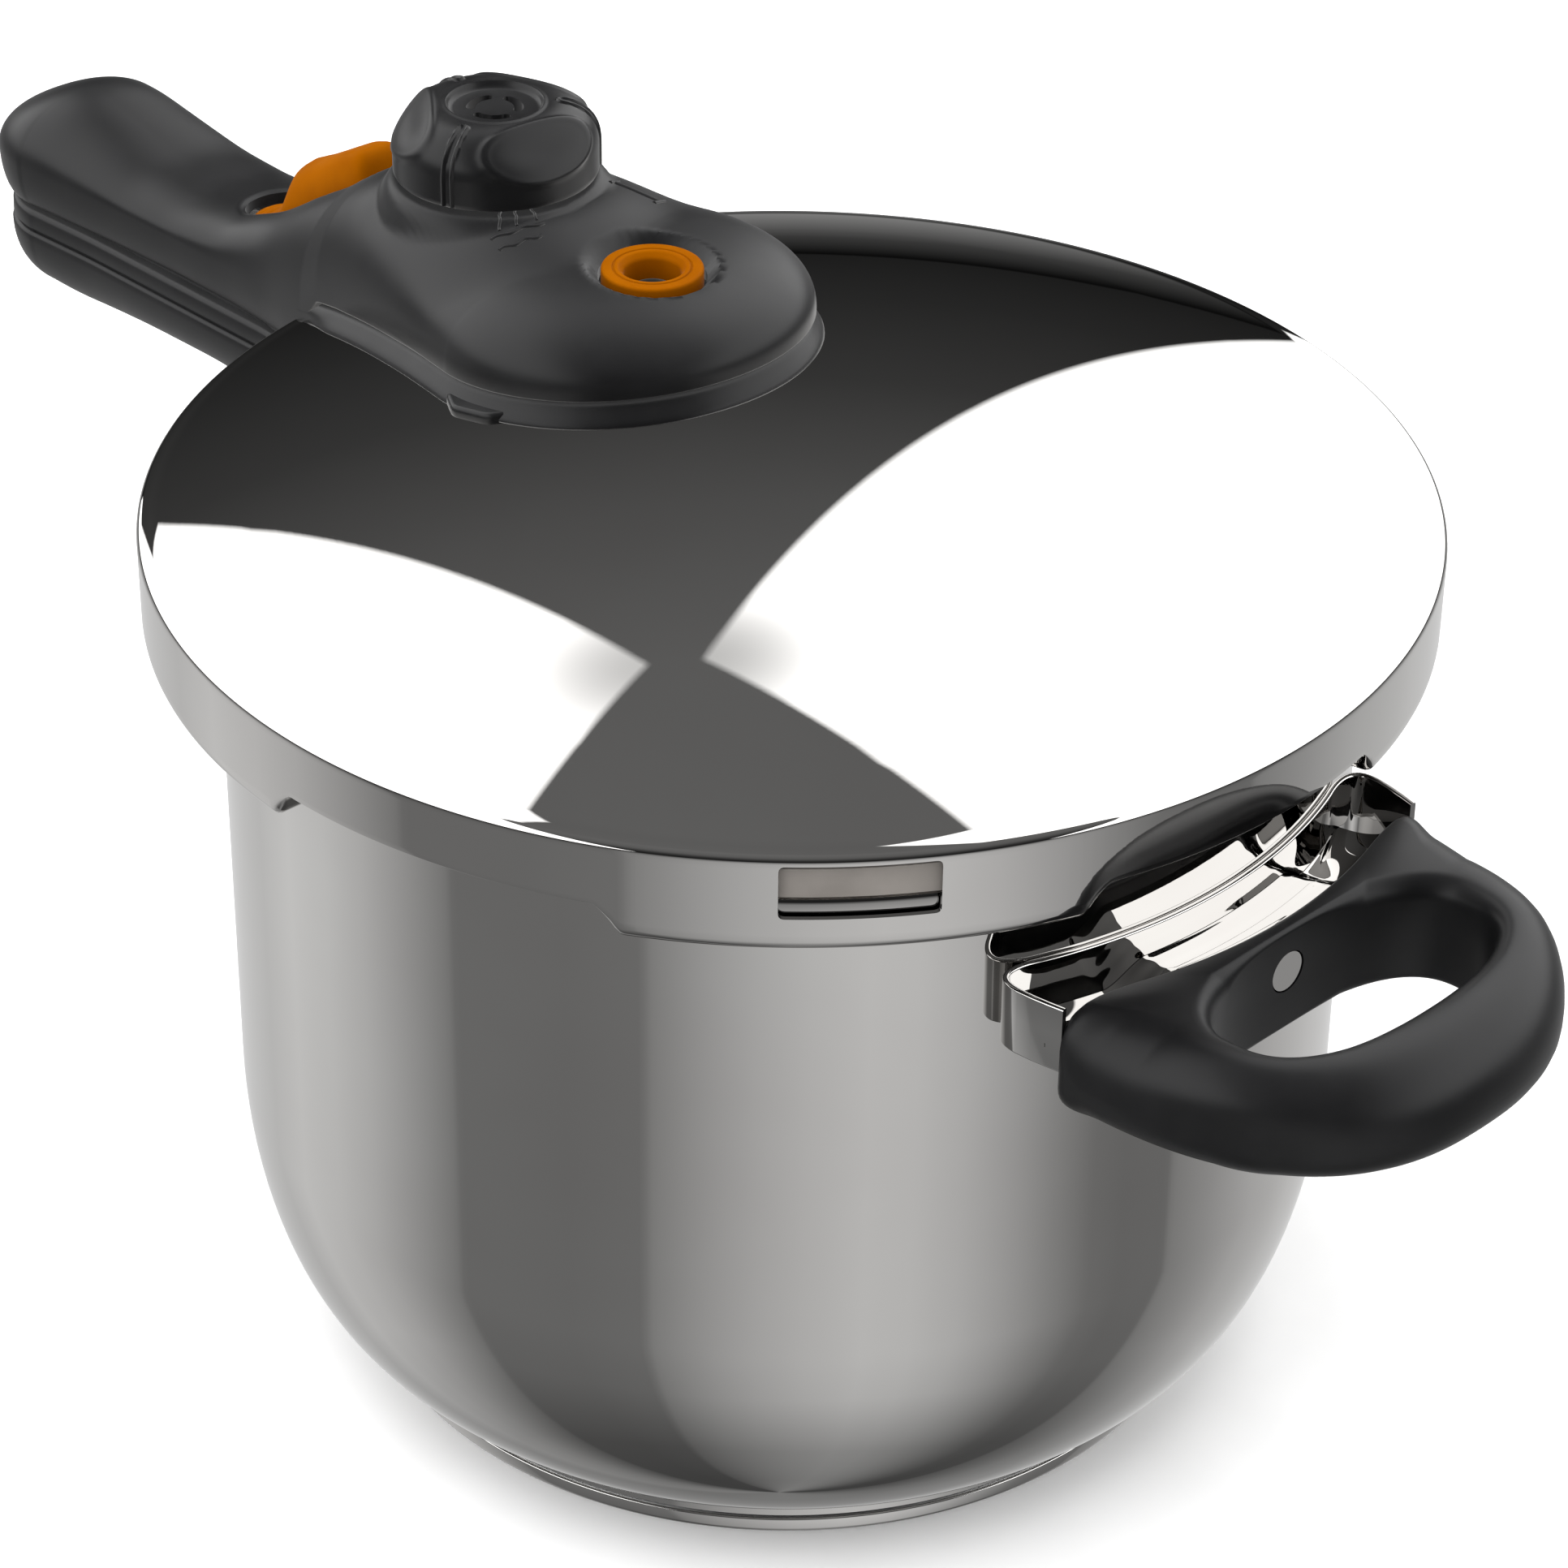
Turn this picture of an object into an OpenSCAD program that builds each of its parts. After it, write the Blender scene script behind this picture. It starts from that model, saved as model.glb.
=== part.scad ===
// Stovetop pressure cooker with a bayonet lid, a regulator knob and two handles.
// Millimetres, +Z up. The origin is the middle of the base's resting face.
// +X runs towards the short helper handle and -X runs along the long handles.

/* [Pot] */
// Inside diameter of the pot
pot_inner_d = 220; // [216:1:222]
// Thickness of the pot's steel wall
pot_wall = 0.8; // [0.6:0.1:1.2]
// Height of the lid's outer edge above the table
lid_edge_z = 184; // [183:0.5:186]

/* [Lid] */
// Outside diameter of the lid
lid_d = 250; // [249:0.5:252]
// Rise of the lid's dome from its edge to its middle
dome_rise = 18; // [17:0.5:18.5]
// Thickness of the lid's sheet
lid_sheet = 1; // [0.8:0.1:1.2]
// Number of claws, and of lugs on the pot
claws = 5; // [5:1:5]
// Angle that each deep claw section of the skirt covers
claw_angle = 40; // [38:1:41]
// Angle that each lug on the pot covers
lug_angle = 28; // [24:1:29]
// Angle of one claw's middle
claw_start = -39.4; // [-42:0.2:-37]

/* [Long handles] */
// Distance from the middle of the pot to the end of the lid handle
handle_end = 238; // [232:1:242]
// Half width of the lid handle's grip
grip_half_w = 18.5; // [17:0.5:19]
// Radius of the round head on the lid
head_r = 38.5; // [37:0.5:39]
// Distance from the lid's middle to the regulator's axis
regulator_x = 84; // [83.5:0.5:84.5]
// Distance from the lid's middle to the indicator's axis
indicator_x = 39; // [38.5:0.5:39.5]

/* [Knob] */
// Radius of the regulator knob
knob_r = 20.4; // [19:0.2:21]
// Height of the knob's top face above the table
knob_top_z = 238.6; // [237:0.2:240]

/* [Side handle] */
// Reach of the side handle from the middle of the pot
side_reach = 177; // [172:1:180]
// Half width of the side handle
side_half_w = 50; // [48.5:0.5:51]

/* [Hidden] */
$fn = 96;
big_fn = 180;
fine = 0.01;
pot_r = pot_inner_d / 2 + pot_wall;
lid_r = lid_d / 2;
step = 360 / claws;

// Pot levels
core_z0 = 0.6;
core_z1 = 3.9;
cap_top_z = 3.4;
floor_r = 88.4;
step_z = 9.5;
corner_top_z = 62.9;
rim_z = lid_edge_z - 9.7;
lug_r = 121.6;
lug_low_z = rim_z - 6.9;
flange_r = 115.5;

// Lid levels
dome_r_edge = lid_r - 2;
dome_sphere = (dome_r_edge * dome_r_edge + dome_rise * dome_rise) / (2 * dome_rise);
dome_mid_z = lid_edge_z + dome_rise - dome_sphere;
shallow_z = lid_edge_z - 13.1;
deep_z = lid_edge_z - 19.8;
lip_r = 116.5;
window_angle = 13;
window_start = claw_start - 6.3;

// Long handle levels
grip_low_z = lid_edge_z - 10;
pot_grip_top_z = grip_low_z - 1.6;
wall_t = 2.6;

// Height of the dome's outer face at a distance r from the lid's middle
function dome_z(r) = dome_mid_z + sqrt(dome_sphere * dome_sphere - r * r);

// Points of an arc: centre, radius, first and last angle, number of steps
function arc(cx, cy, r, a0, a1, n) =
    [for (i = [0:n]) let (a = a0 + (a1 - a0) * i / n) [cx + r * cos(a), cy + r * sin(a)]];

// Points of an ellipse's stretch
function ellipse_arc(cx, cy, rx, ry, a0, a1, n) =
    [for (i = [0:n]) let (a = a0 + (a1 - a0) * i / n) [cx + rx * cos(a), cy + ry * sin(a)]];

// Points of a superellipse with power p
function signed_pow(v, p) = v < 0 ? -pow(-v, p) : pow(v, p);
function super_arc(cx, cy, rx, ry, p, a0, a1, n) =
    [for (i = [0:n]) let (a = a0 + (a1 - a0) * i / n)
        [cx + rx * signed_pow(cos(a), 2 / p), cy + ry * signed_pow(sin(a), 2 / p)]];

// A ring with a square section
module tube(r_out, r_in, z0, z1) {
    translate([0, 0, z0]) difference() {
        cylinder(r = r_out, h = z1 - z0);
        translate([0, 0, -1]) cylinder(r = r_in, h = z1 - z0 + 2);
    }
}

// A round bar between two levels
module bar(r, z0, z1) {
    translate([0, 0, z0]) cylinder(r = r, h = z1 - z0);
}

// A hexagon nut with a round hole
module hex_nut(r, hole_r, z0, z1) {
    difference() {
        translate([0, 0, z0]) cylinder(r = r, h = z1 - z0, $fn = 6);
        translate([0, 0, z0 - 1]) cylinder(r = hole_r, h = z1 - z0 + 2);
    }
}

// A stretch of a ring around the pot's axis
module ring_stretch(r0, r1, z0, z1, mid, span) {
    rotate([0, 0, mid - span / 2]) rotate_extrude(angle = span, $fn = big_fn)
        translate([r0, z0]) square([r1 - r0, z1 - z0]);
}

// A compression spring: a round wire along a helix, with its middle line on radius r
module coil(r, wire_r, z0, z1, turns, sides = 8, per_turn = 12) {
    n = turns * per_turn;
    ring = function (i)
        let (a = 360 * i / per_turn, z = z0 + wire_r + (z1 - z0 - 2 * wire_r) * i / n)
        [for (k = [0:sides - 1]) let (b = 360 * k / sides, q = r + wire_r * cos(b))
            [q * cos(a), q * sin(a), z + wire_r * sin(b)]];
    points = [for (i = [0:n]) each ring(i)];
    walls = [for (i = [0:n - 1], k = [0:sides - 1])
        let (a = i * sides + k, b = i * sides + (k + 1) % sides)
        [a, a + sides, b + sides, b]];
    first = [for (k = [0:sides - 1]) k];
    last = [for (k = [sides - 1:-1:0]) n * sides + k];
    polyhedron(points = points, faces = concat([first], walls, [last]), convexity = 8);
}

// ---- Pot ----

// Outer side of the pot's wall, from the floor's middle up to the rim
function pot_outside() = concat(
    [[0, core_z1], [floor_r, core_z1], [floor_r, step_z]],
    ellipse_arc(floor_r, corner_top_z, pot_r - floor_r, corner_top_z - step_z, -84, 0, 14),
    [[pot_r, rim_z - 5], [pot_r + 1.2, rim_z - 1.6], [pot_r + 2.4, rim_z - pot_wall],
    [flange_r, rim_z - pot_wall]]);
// Inner side, from the rim back down to the floor's middle
function pot_inside() = concat(
    [[flange_r, rim_z], [pot_r + 1.6, rim_z], [pot_r + 0.3, rim_z - 1.6], [pot_r - pot_wall, rim_z - 5]],
    ellipse_arc(floor_r, corner_top_z, pot_r - floor_r - pot_wall, corner_top_z - step_z - pot_wall,
        0, -84, 14),
    [[floor_r - pot_wall, step_z + pot_wall], [floor_r - pot_wall, core_z1 + pot_wall],
    [0, core_z1 + pot_wall]]);

module pot_body() {
    color("silver") {
        rotate_extrude($fn = big_fn) polygon(concat(pot_outside(), pot_inside()));
        for (k = [0:claws - 1]) {
            ring_stretch(flange_r - 1, lug_r, rim_z - pot_wall, rim_z, claw_start + k * step, lug_angle);
            ring_stretch(lug_r - pot_wall, lug_r, lug_low_z, rim_z, claw_start + k * step, lug_angle);
        }
    }
}

// Aluminium disc that spreads the heat
module base_core() {
    color("gainsboro") bar(floor_r - 1, core_z0, core_z1);
}

// Steel cup that wraps the disc and rests on the hob
module base_cap() {
    color("silver") difference() {
        bar(floor_r, 0, cap_top_z);
        translate([0, 0, core_z0]) cylinder(r = floor_r - 1, h = cap_top_z);
    }
}

// ---- Pot handle ----

tang_x0 = -134;
tang_x1 = -111;
tang_half_w = 7;
tang_z0 = 152;
tang_z1 = 159;
pot_screw_x = [-130, -120];

module pot_handle_bracket() {
    color("silver") {
        ring_stretch(pot_r + fine, pot_r + 1.5, 142, 162, 180, 24);
        difference() {
            translate([tang_x0, -tang_half_w, tang_z0])
                cube([tang_x1 - tang_x0, 2 * tang_half_w, tang_z1 - tang_z0]);
            translate([0, 0, tang_z0 - 1]) cylinder(r = pot_r + 0.5, h = 20, $fn = big_fn);
            for (x = pot_screw_x) translate([x, 0, tang_z0 - 1]) cylinder(r = 2.1, h = 20);
        }
    }
}

// Plan of the pot handle, from the pot's wall to its round end
function pot_handle_plan(w, end_r) = concat(
    [[-108, -w - 5], [-118, -w - 4.5], [-140, -w]],
    [[-200, -w]],
    arc(-handle_end + 1.5 + end_r, 0, end_r, 270, 90, 16),
    [[-200, w], [-140, w], [-118, w + 4.5], [-108, w + 5]]);
// Side view of the pot handle
pot_handle_side = [[-108, 142], [-120, 145], [-135, 150.5], [-160, 152.5], [-185, 152],
    [-210, 150], [-224, 152], [-233, 158], [-237, 166], [-236.5, 171],
    [-234, pot_grip_top_z], [-127.5, pot_grip_top_z], [-127.5, 162.5], [-108, 162.5]];

module pot_handle() {
    color("#262627") difference() {
        intersection() {
            linear_extrude(height = 200) polygon(pot_handle_plan(17, 18));
            rotate([90, 0, 0]) translate([0, 0, -40]) linear_extrude(height = 80) polygon(pot_handle_side);
        }
        bar(pot_r + 1.55, 130, 190);
        translate([tang_x0 - 0.1, -tang_half_w - 0.1, tang_z0 - 0.1])
            cube([40, 2 * tang_half_w + 0.2, tang_z1 - tang_z0 + 0.2]);
        for (x = pot_screw_x) {
            translate([x, 0, 140]) cylinder(r = 2.1, h = 20);
            translate([x, 0, 140]) cylinder(r = 4.2, h = tang_z0 - 140 - 2);
        }
        translate([-144.1, -7.1, pot_grip_top_z - 2]) cube([16.2, 14.2, 5]);
        translate([-137, 0, pot_grip_top_z - 6]) cylinder(r = 3.6, h = 10);
    }
}

module pot_handle_screws() {
    color("silver") for (x = pot_screw_x) translate([x, 0, 0]) {
        bar(2, tang_z0 - 2, tang_z1 + 0.05);
        bar(4, tang_z0 - 4, tang_z0 - 2.02);
    }
}

// Steel plate with the hole that the lock pin faces
module catch_plate() {
    color("silver") difference() {
        translate([-144, -7, pot_grip_top_z - 1.9]) cube([16, 14, 1.8]);
        translate([-137, 0, pot_grip_top_z - 4]) cylinder(r = 3.2, h = 8);
    }
}

// ---- Side handle ----

side_z0 = 125;
side_z1 = 147.5;
bracket_z0 = 129;
bracket_z1 = 149;
strap = 1.2;
hole_x0 = 128.5;
hole_x1 = 159;
hole_half_w = 32;

// The face of the handle that looks at the pot is an arc around the pot
side_face_r = 120.2;
side_face_cx = 4.8;
function side_plan() = concat(
    arc(side_face_cx, 0, side_face_r, -23.4, 23.4, 20),
    super_arc(116, 0, side_reach - 116, side_half_w, 2.5, 88, -88, 40));
function finger_hole() = super_arc((hole_x0 + hole_x1) / 2, 0, (hole_x1 - hole_x0) / 2,
    hole_half_w, 2.6, 0, 354, 40);
side_handle_side = [[108, 129], [120, 125.8], [135, 125], [152, 125.5], [166, 128], [174, 131.5],
    [side_reach, 136], [side_reach, 140], [173, 144.5], [165, 147], [150, side_z1], [108, side_z1]];

module side_handle() {
    color("#262627") difference() {
        intersection() {
            linear_extrude(height = 200) polygon(side_plan());
            rotate([90, 0, 0]) translate([0, 0, -60]) linear_extrude(height = 120) polygon(side_handle_side);
        }
        translate([0, 0, 100]) linear_extrude(height = 80) polygon(finger_hole());
        translate([124, 0, 138]) rotate([0, 90, 0]) cylinder(r = 2.1, h = 10);
        translate([126.8, 0, 138]) rotate([0, 90, 0]) cylinder(r = 4.3, h = 10);
        translate([116, -14, bracket_z0 + 1]) cube([8.5, 28, bracket_z1 - bracket_z0 - 6]);
    }
}

// Outline of the strap: along the pot, round a corner and out to the handle
function strap_plan(t) = concat(
    [[116.9, 48.8 - t], [106, 49.8 - t]],
    arc(101.5 + t / 2, 45 - t / 2, 4.8 - t / 2, 80, 168, 8),
    [for (a = [22:-2:-22]) [(pot_r + fine + t) * cos(a), (pot_r + fine + t) * sin(a)]],
    arc(101.5 + t / 2, -45 + t / 2, 4.8 - t / 2, 192, 280, 8),
    [[106, -49.8 + t], [116.9, -48.8 + t]]);

module side_handle_bracket() {
    color("silver") {
        difference() {
            translate([0, 0, bracket_z0]) linear_extrude(height = bracket_z1 - bracket_z0)
                polygon(strap_plan(0));
            translate([0, 0, bracket_z0 - 1]) linear_extrude(height = bracket_z1 - bracket_z0 + 2)
                polygon(strap_plan(strap));
            translate([0, 0, bracket_z0 - 2]) cylinder(r = pot_r + fine, h = 40, $fn = big_fn);
            translate([side_face_cx, 0, bracket_z0 - 2]) difference() {
                cylinder(r = side_face_r + 40, h = 40, $fn = big_fn);
                translate([0, 0, -1]) cylinder(r = side_face_r - 0.05, h = 50, $fn = big_fn);
            }
        }
        // Web that reaches from the pot to the handle's screw
        difference() {
            translate([pot_r, -13, bracket_z0 + 2]) cube([13, 26, bracket_z1 - bracket_z0 - 8]);
            translate([0, 0, bracket_z0 - 1]) cylinder(r = pot_r + fine, h = 40, $fn = big_fn);
            translate([113.2, -11.8, bracket_z0 - 1]) cube([9.4, 23.6, 40]);
            translate([120, 0, 138]) rotate([0, 90, 0]) cylinder(r = 2.1, h = 10);
        }
    }
}

module side_handle_screw() {
    color("silver") translate([0, 0, 138]) rotate([0, 90, 0]) {
        bar(2, 122.8, 126.9);
        bar(4, 126.92, 128.3);
    }
}

// ---- Seal ----

module sealing_ring() {
    color("#8b8580") rotate_extrude($fn = big_fn) polygon([[112.4, rim_z + 0.4], [113.6, rim_z + 0.4],
        [115, rim_z + 2.6], [116.5, rim_z + 2.2], [118, rim_z + 0.4], [123.3, rim_z + 0.4],
        [123.3, rim_z + 6.2], [121.5, rim_z + 7.6], [116.5, rim_z + 7.6], [114.6, rim_z + 5.4],
        [112.4, rim_z + 2]]);
}

// ---- Lid ----

// Section of the lid: dome, rolled edge, skirt and the lip that is turned in under the lugs
function dome_line(off, r0, r1, n) = [for (i = [0:n]) let (r = r0 + (r1 - r0) * i / n) [r, dome_z(r) - off]];
module lid_section() {
    polygon(concat(
        dome_line(0, 0, lid_r - 2.4, 12),
        arc(lid_r - 1.6, lid_edge_z - 1.6, 1.6, 90, 0, 6),
        [[lid_r, deep_z], [lip_r, deep_z], [lip_r, deep_z + lid_sheet],
        [lid_r - lid_sheet, deep_z + lid_sheet], [lid_r - lid_sheet, lid_edge_z - 2.6]],
        dome_line(lid_sheet, lid_r - 2.4, 0, 12)));
}

relief_at = [-62, -19];

module lid_shell() {
    color("silver") difference() {
        rotate_extrude($fn = big_fn) lid_section();
        for (k = [0:claws - 1])
            ring_stretch(lip_r - 2, lid_r + 2, deep_z - 1, shallow_z, claw_start + (k + 0.5) * step,
                step - claw_angle);
        ring_stretch(lid_r - 5, lid_r + 5, lid_edge_z - 13, lid_edge_z - 2,
            window_start + window_angle / 2, window_angle);
        translate([-regulator_x, 0, 180]) cylinder(r = 5.1, h = 30);
        translate([-indicator_x, 0, 180]) cylinder(r = 5.1, h = 30);
        translate([relief_at[0], relief_at[1], 180]) cylinder(r = 5.6, h = 30);
    }
}

// ---- Handle on the lid ----

// Plan of the head and grip; t moves the outline inwards
tangent = 103.3;
function handle_plan(t) = concat(
    arc(-48.5, 0, head_r - t, -tangent, tangent, 28),
    [[-120, 22.7 - t], [-140, grip_half_w - t], [-195, grip_half_w - t]],
    arc(-handle_end + 20, 0, 20 - t, 90, 270, 16),
    [[-195, -grip_half_w + t], [-140, -grip_half_w + t], [-120, -22.7 + t]]);
// Line of the cover's top in the side view, from the tip of the head to the grip's end
cover_top = [[-10, 208], [-10.8, 211.5], [-14, 214.8], [-20, 217.2], [-28, 218.9], [-40, 219.7],
    [-60, 219.8], [-84, 219.4], [-100, 217.4], [-112, 212.6], [-125, 205], [-140, 197], [-155, 191.8],
    [-170, 190.3], [-185, 191.5], [-200, 195], [-214, 198], [-224, 197], [-233, 191.5], [-237.5, 184]];
// The seam between cover and base, about 5.5 above the dome along the head's outline
seam = [[-121.5, 189.6], [-105, 193.9], [-90, 197], [-70, 200.4], [-48, 203], [-25, 205.6], [-10, 207.4]];
// The cover's lower edge: under the grip, a step up at the lid's edge, then the seam
cover_low = concat([[-238, 178], [-235.5, grip_low_z], [-126.6, grip_low_z], [-126.6, 186]], seam);
function lowered(points, t) = [for (p = points) [min(max(p[0], -handle_end + t), -10 - t), p[1] - t]];

module handle_block(t, low) {
    intersection() {
        translate([0, 0, 150]) linear_extrude(height = 100) polygon(handle_plan(t));
        rotate([90, 0, 0]) translate([0, 0, -50]) linear_extrude(height = 100)
            polygon(concat(lowered(cover_top, t), low));
    }
}

slot_x0 = -165;
slot_x1 = -116;
slot_half_w = 8;
collar_z = 222.6;

module handle_cover() {
    color("#2a2a2b") difference() {
        union() {
            handle_block(0, cover_low);
            translate([-regulator_x, 0, 214]) cylinder(r = 22, h = collar_z - 214);
        }
        handle_block(wall_t, [[-handle_end + wall_t, 160], [-10 - wall_t, 160]]);
        translate([-indicator_x, 0, 190]) cylinder(r = 10.6, h = 40);
        translate([-indicator_x, 0, 216.6]) cylinder(r = 12.4, h = 10);
        translate([-regulator_x, 0, 190]) cylinder(r = 14, h = 40);
        translate([slot_x0, -slot_half_w, 184]) cube([slot_x1 - slot_x0, 2 * slot_half_w, 40]);
    }
}

// Lower half of the head, shaped to the lid's dome
stud_x = [-104, -61];
nut_r = 5.6;
module handle_base() {
    color("#2a2a2b") difference() {
        intersection() {
            translate([0, 0, 170]) linear_extrude(height = 60) polygon(handle_plan(0.4));
            rotate([90, 0, 0]) translate([0, 0, -50]) linear_extrude(height = 100) polygon(concat(
                [[-10, 192], [-60, 186], [-121.4, 184.6]], [for (p = seam) [p[0], p[1] - 0.1]]));
        }
        translate([0, 0, dome_mid_z]) sphere(r = dome_sphere + 0.02, $fn = 360);
        translate([-regulator_x, 0, 180]) cylinder(r = 12.2, h = 40);
        translate([-indicator_x, 0, 180]) cylinder(r = 11.2, h = 40);
        translate([relief_at[0], relief_at[1], 180]) cylinder(r = 10, h = 40);
        translate([-59.1, -50, 190]) cube([15.2, 23, 11.1]);
        for (x = stud_x) translate([x, 0, 180]) cylinder(r = 3.1, h = 40);
    }
}

// Plate that closes the underside of the grip
module grip_plate() {
    color("#2a2a2b") difference() {
        translate([0, 0, grip_low_z + 0.2]) linear_extrude(height = 3) intersection() {
            polygon(handle_plan(wall_t + 0.05));
            translate([-handle_end, -40]) square([handle_end - 129.3, 80]);
        }
        translate([-148, -4, 170]) cube([17, 8, 12]);
        for (x = [-210, -155]) translate([x, 0, 170]) cylinder(r = 1.8, h = 12);
    }
}

module grip_screws() {
    color("silver") for (x = [-210, -155]) translate([x, 0, 0]) {
        bar(1.7, grip_low_z + 0.1, grip_low_z + 8);
        bar(3.4, grip_low_z - 0.9, grip_low_z + 0.15);
    }
}

// Threaded studs welded to the dome, and the nuts that hold the base down on them
module lid_studs() {
    color("silver") for (x = stud_x) translate([x, 0, 0]) difference() {
        bar(3, dome_z(-x) - 1, dome_z(-x) + 10);
        translate([-x, 0, dome_mid_z]) sphere(r = dome_sphere, $fn = 360);
    }
}

module stud_nuts() {
    color("silver") for (x = stud_x)
        translate([x, 0, lookup(x + nut_r, seam)]) difference() {
            cylinder(r = nut_r, h = 3, $fn = 6);
            translate([0, 0, -1]) cylinder(r = 3.02, h = 6);
        }
}

// ---- Valves ----

// Levels where a flat flange of radius r meets the dome from above and from below
function above_dome(x, r) = dome_z(x - r) + 0.03;
function below_dome(x, r) = dome_z(x + r) - lid_sheet - 0.03;

valve_seat_z = above_dome(regulator_x, 9);
module valve_tube() {
    color("silver") translate([-regulator_x, 0, 0]) difference() {
        union() {
            bar(5, 184, 216);
            bar(9, below_dome(regulator_x, 9) - 3, below_dome(regulator_x, 9));
        }
        bar(3, 180, 220);
    }
}

module valve_tube_nut() {
    color("silver") translate([-regulator_x, 0, 0]) hex_nut(9, 5.02, valve_seat_z + 0.75, valve_seat_z + 4.9);
}

module valve_washer() {
    color("silver") translate([-regulator_x, 0, 0]) tube(8.6, 5.05, valve_seat_z, valve_seat_z + 0.7);
}

module indicator_bush() {
    color("#3a3a3a") translate([-indicator_x, 0, 0]) difference() {
        union() {
            bar(5, 195.4, 206);
            bar(8, 195.4, below_dome(indicator_x, 8));
            bar(7, above_dome(indicator_x, 7), above_dome(indicator_x, 7) + 2);
        }
        bar(3.06, 190, 210);
    }
}

relief_r = sqrt(relief_at[0] * relief_at[0] + relief_at[1] * relief_at[1]);
relief_seat_z = 199.5;
relief_cup_z = 211;
module relief_valve_body() {
    color("silver") translate([relief_at[0], relief_at[1], 0]) difference() {
        union() {
            bar(5.5, 188, 213.5);
            bar(8.5, below_dome(relief_r, 8.5) - 2.8, below_dome(relief_r, 8.5));
        }
        bar(2, 180, relief_seat_z + 1);
        bar(4, relief_seat_z, relief_cup_z);
        bar(1.4, 205, 220);
    }
}

module relief_valve_nut() {
    color("silver") translate([relief_at[0], relief_at[1], 0])
        hex_nut(9, 5.52, above_dome(relief_r, 9), above_dome(relief_r, 9) + 3.3);
}

// Deflector that leads a blow-off out under the edge of the head
module vent_outlet() {
    color("#2a2a2b") difference() {
        translate([-59, -42.6, 195]) cube([15, 15, 6]);
        translate([-55, -50, 190]) cube([7, 30, 9.2]);
        translate([0, 0, dome_mid_z]) sphere(r = dome_sphere + 0.02, $fn = 360);
    }
}

// ---- Lid lock ----

// Side view of the slider: a low tongue, then a ramp up to the thumb ridge
slider_side = [[-172, 184.6], [-172, 187], [-150, 188.2], [-143, 192], [-136, 202], [-129, 210.5],
    [-123, 214.8], [-119.5, 215.4], [-117.6, 213], [-117.2, 198], [-131, 196], [-131, 184.6]];

module lock_slider() {
    color("#b86e00") rotate([90, 0, 0]) translate([0, 0, -7.3]) linear_extrude(height = 14.6)
        polygon(slider_side);
}

module lock_bar() {
    color("silver") {
        translate([-168, -4.5, 182.2]) cube([38, 9, 1.6]);
        translate([-160, -2, 183.7]) cube([12, 4, 0.85]);
    }
}

module lock_pin() {
    color("silver") translate([-137, 0, 0]) {
        bar(2.8, 173, 180.5);
        bar(4, 180.5, 182.15);
    }
}

module lock_spring() {
    color("silver") translate([-185, 0, 184]) rotate([0, 90, 0]) coil(3, 0.4, -8, 3.5, 5);
}

// ---- Regulator ----

module regulator_knob() {
    color("#222223") translate([-regulator_x, 0, 0]) difference() {
        union() {
            rotate_extrude() polygon(concat(
                [[0, 224], [knob_r, 224], [knob_r, 229]],
                ellipse_arc(knob_r - 9, 229, 9, knob_top_z - 229, 0, 90, 8),
                [[0, knob_top_z]]));
            bar(8, 205, 225);
        }
        bar(5.06, 200, 217.2);
        bar(6, 217, 227.5);
        tube(17.5, 10, 220, 231);
        bar(9.4, knob_top_z - 1.2, knob_top_z + 5);
        for (a = [30:120:270]) rotate([0, 0, a]) rotate_extrude(angle = 80)
            translate([3.6, 227]) square([2, 20]);
    }
}

// Steel disc inside the knob that the spring pushes against
module regulator_insert() {
    color("silver") translate([-regulator_x, 0, 0]) tube(5.9, 1.2, 226.4, 227.45);
}

module regulator_plunger() {
    color("silver") translate([-regulator_x, 0, 0]) {
        bar(2.7, 204, 216.5);
        bar(4.9, 216.4, 217.6);
        bar(1.5, 217, 219.5);
    }
}

module regulator_spring() {
    color("silver") translate([-regulator_x, 0, 0]) coil(4, 0.4, 217.7, 226.3, 5);
}

// ---- Pressure indicator ----

module indicator_ring() {
    color("#b86e00") translate([-indicator_x, 0, 0]) rotate_extrude() polygon([
        [5.6, 212.2], [10, 212.2], [10, 218.2], [9.5, 218.8], [7.4, 218.8], [7.2, 218.4], [5.6, 218.4]]);
}

module indicator_pin() {
    color("#303030") translate([-indicator_x, 0, 0]) {
        bar(4.6, 188.6, 190.2);
        bar(3, 190, 208);
        bar(9, 207.8, 212.15);
        rotate_extrude() polygon([[0, 212], [5.5, 212], [5.5, 213.4], [4.6, 214.2], [0, 214.9]]);
    }
}

// ---- Relief valve's moving pieces ----

module relief_plunger() {
    color("silver") translate([relief_at[0], relief_at[1], 0]) {
        bar(3.7, relief_seat_z + 0.1, relief_seat_z + 2);
        bar(1.2, relief_seat_z + 1.9, relief_seat_z + 5);
    }
}

module relief_spring() {
    color("silver") translate([relief_at[0], relief_at[1], 0])
        coil(3, 0.4, relief_seat_z + 2.1, relief_cup_z - 0.1, 5);
}

pot_body();
base_core();
base_cap();
pot_handle_bracket();
pot_handle();
pot_handle_screws();
catch_plate();
side_handle_bracket();
side_handle();
side_handle_screw();
sealing_ring();
lid_shell();
handle_base();
handle_cover();
grip_plate();
grip_screws();
lid_studs();
stud_nuts();
valve_tube();
valve_tube_nut();
valve_washer();
indicator_bush();
relief_valve_body();
relief_valve_nut();
vent_outlet();
lock_slider();
lock_bar();
lock_pin();
lock_spring();
regulator_knob();
regulator_insert();
regulator_plunger();
regulator_spring();
indicator_ring();
indicator_pin();
relief_plunger();
relief_spring();
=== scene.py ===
import math

import bmesh
import bpy
import numpy as np
from mathutils import Matrix


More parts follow.
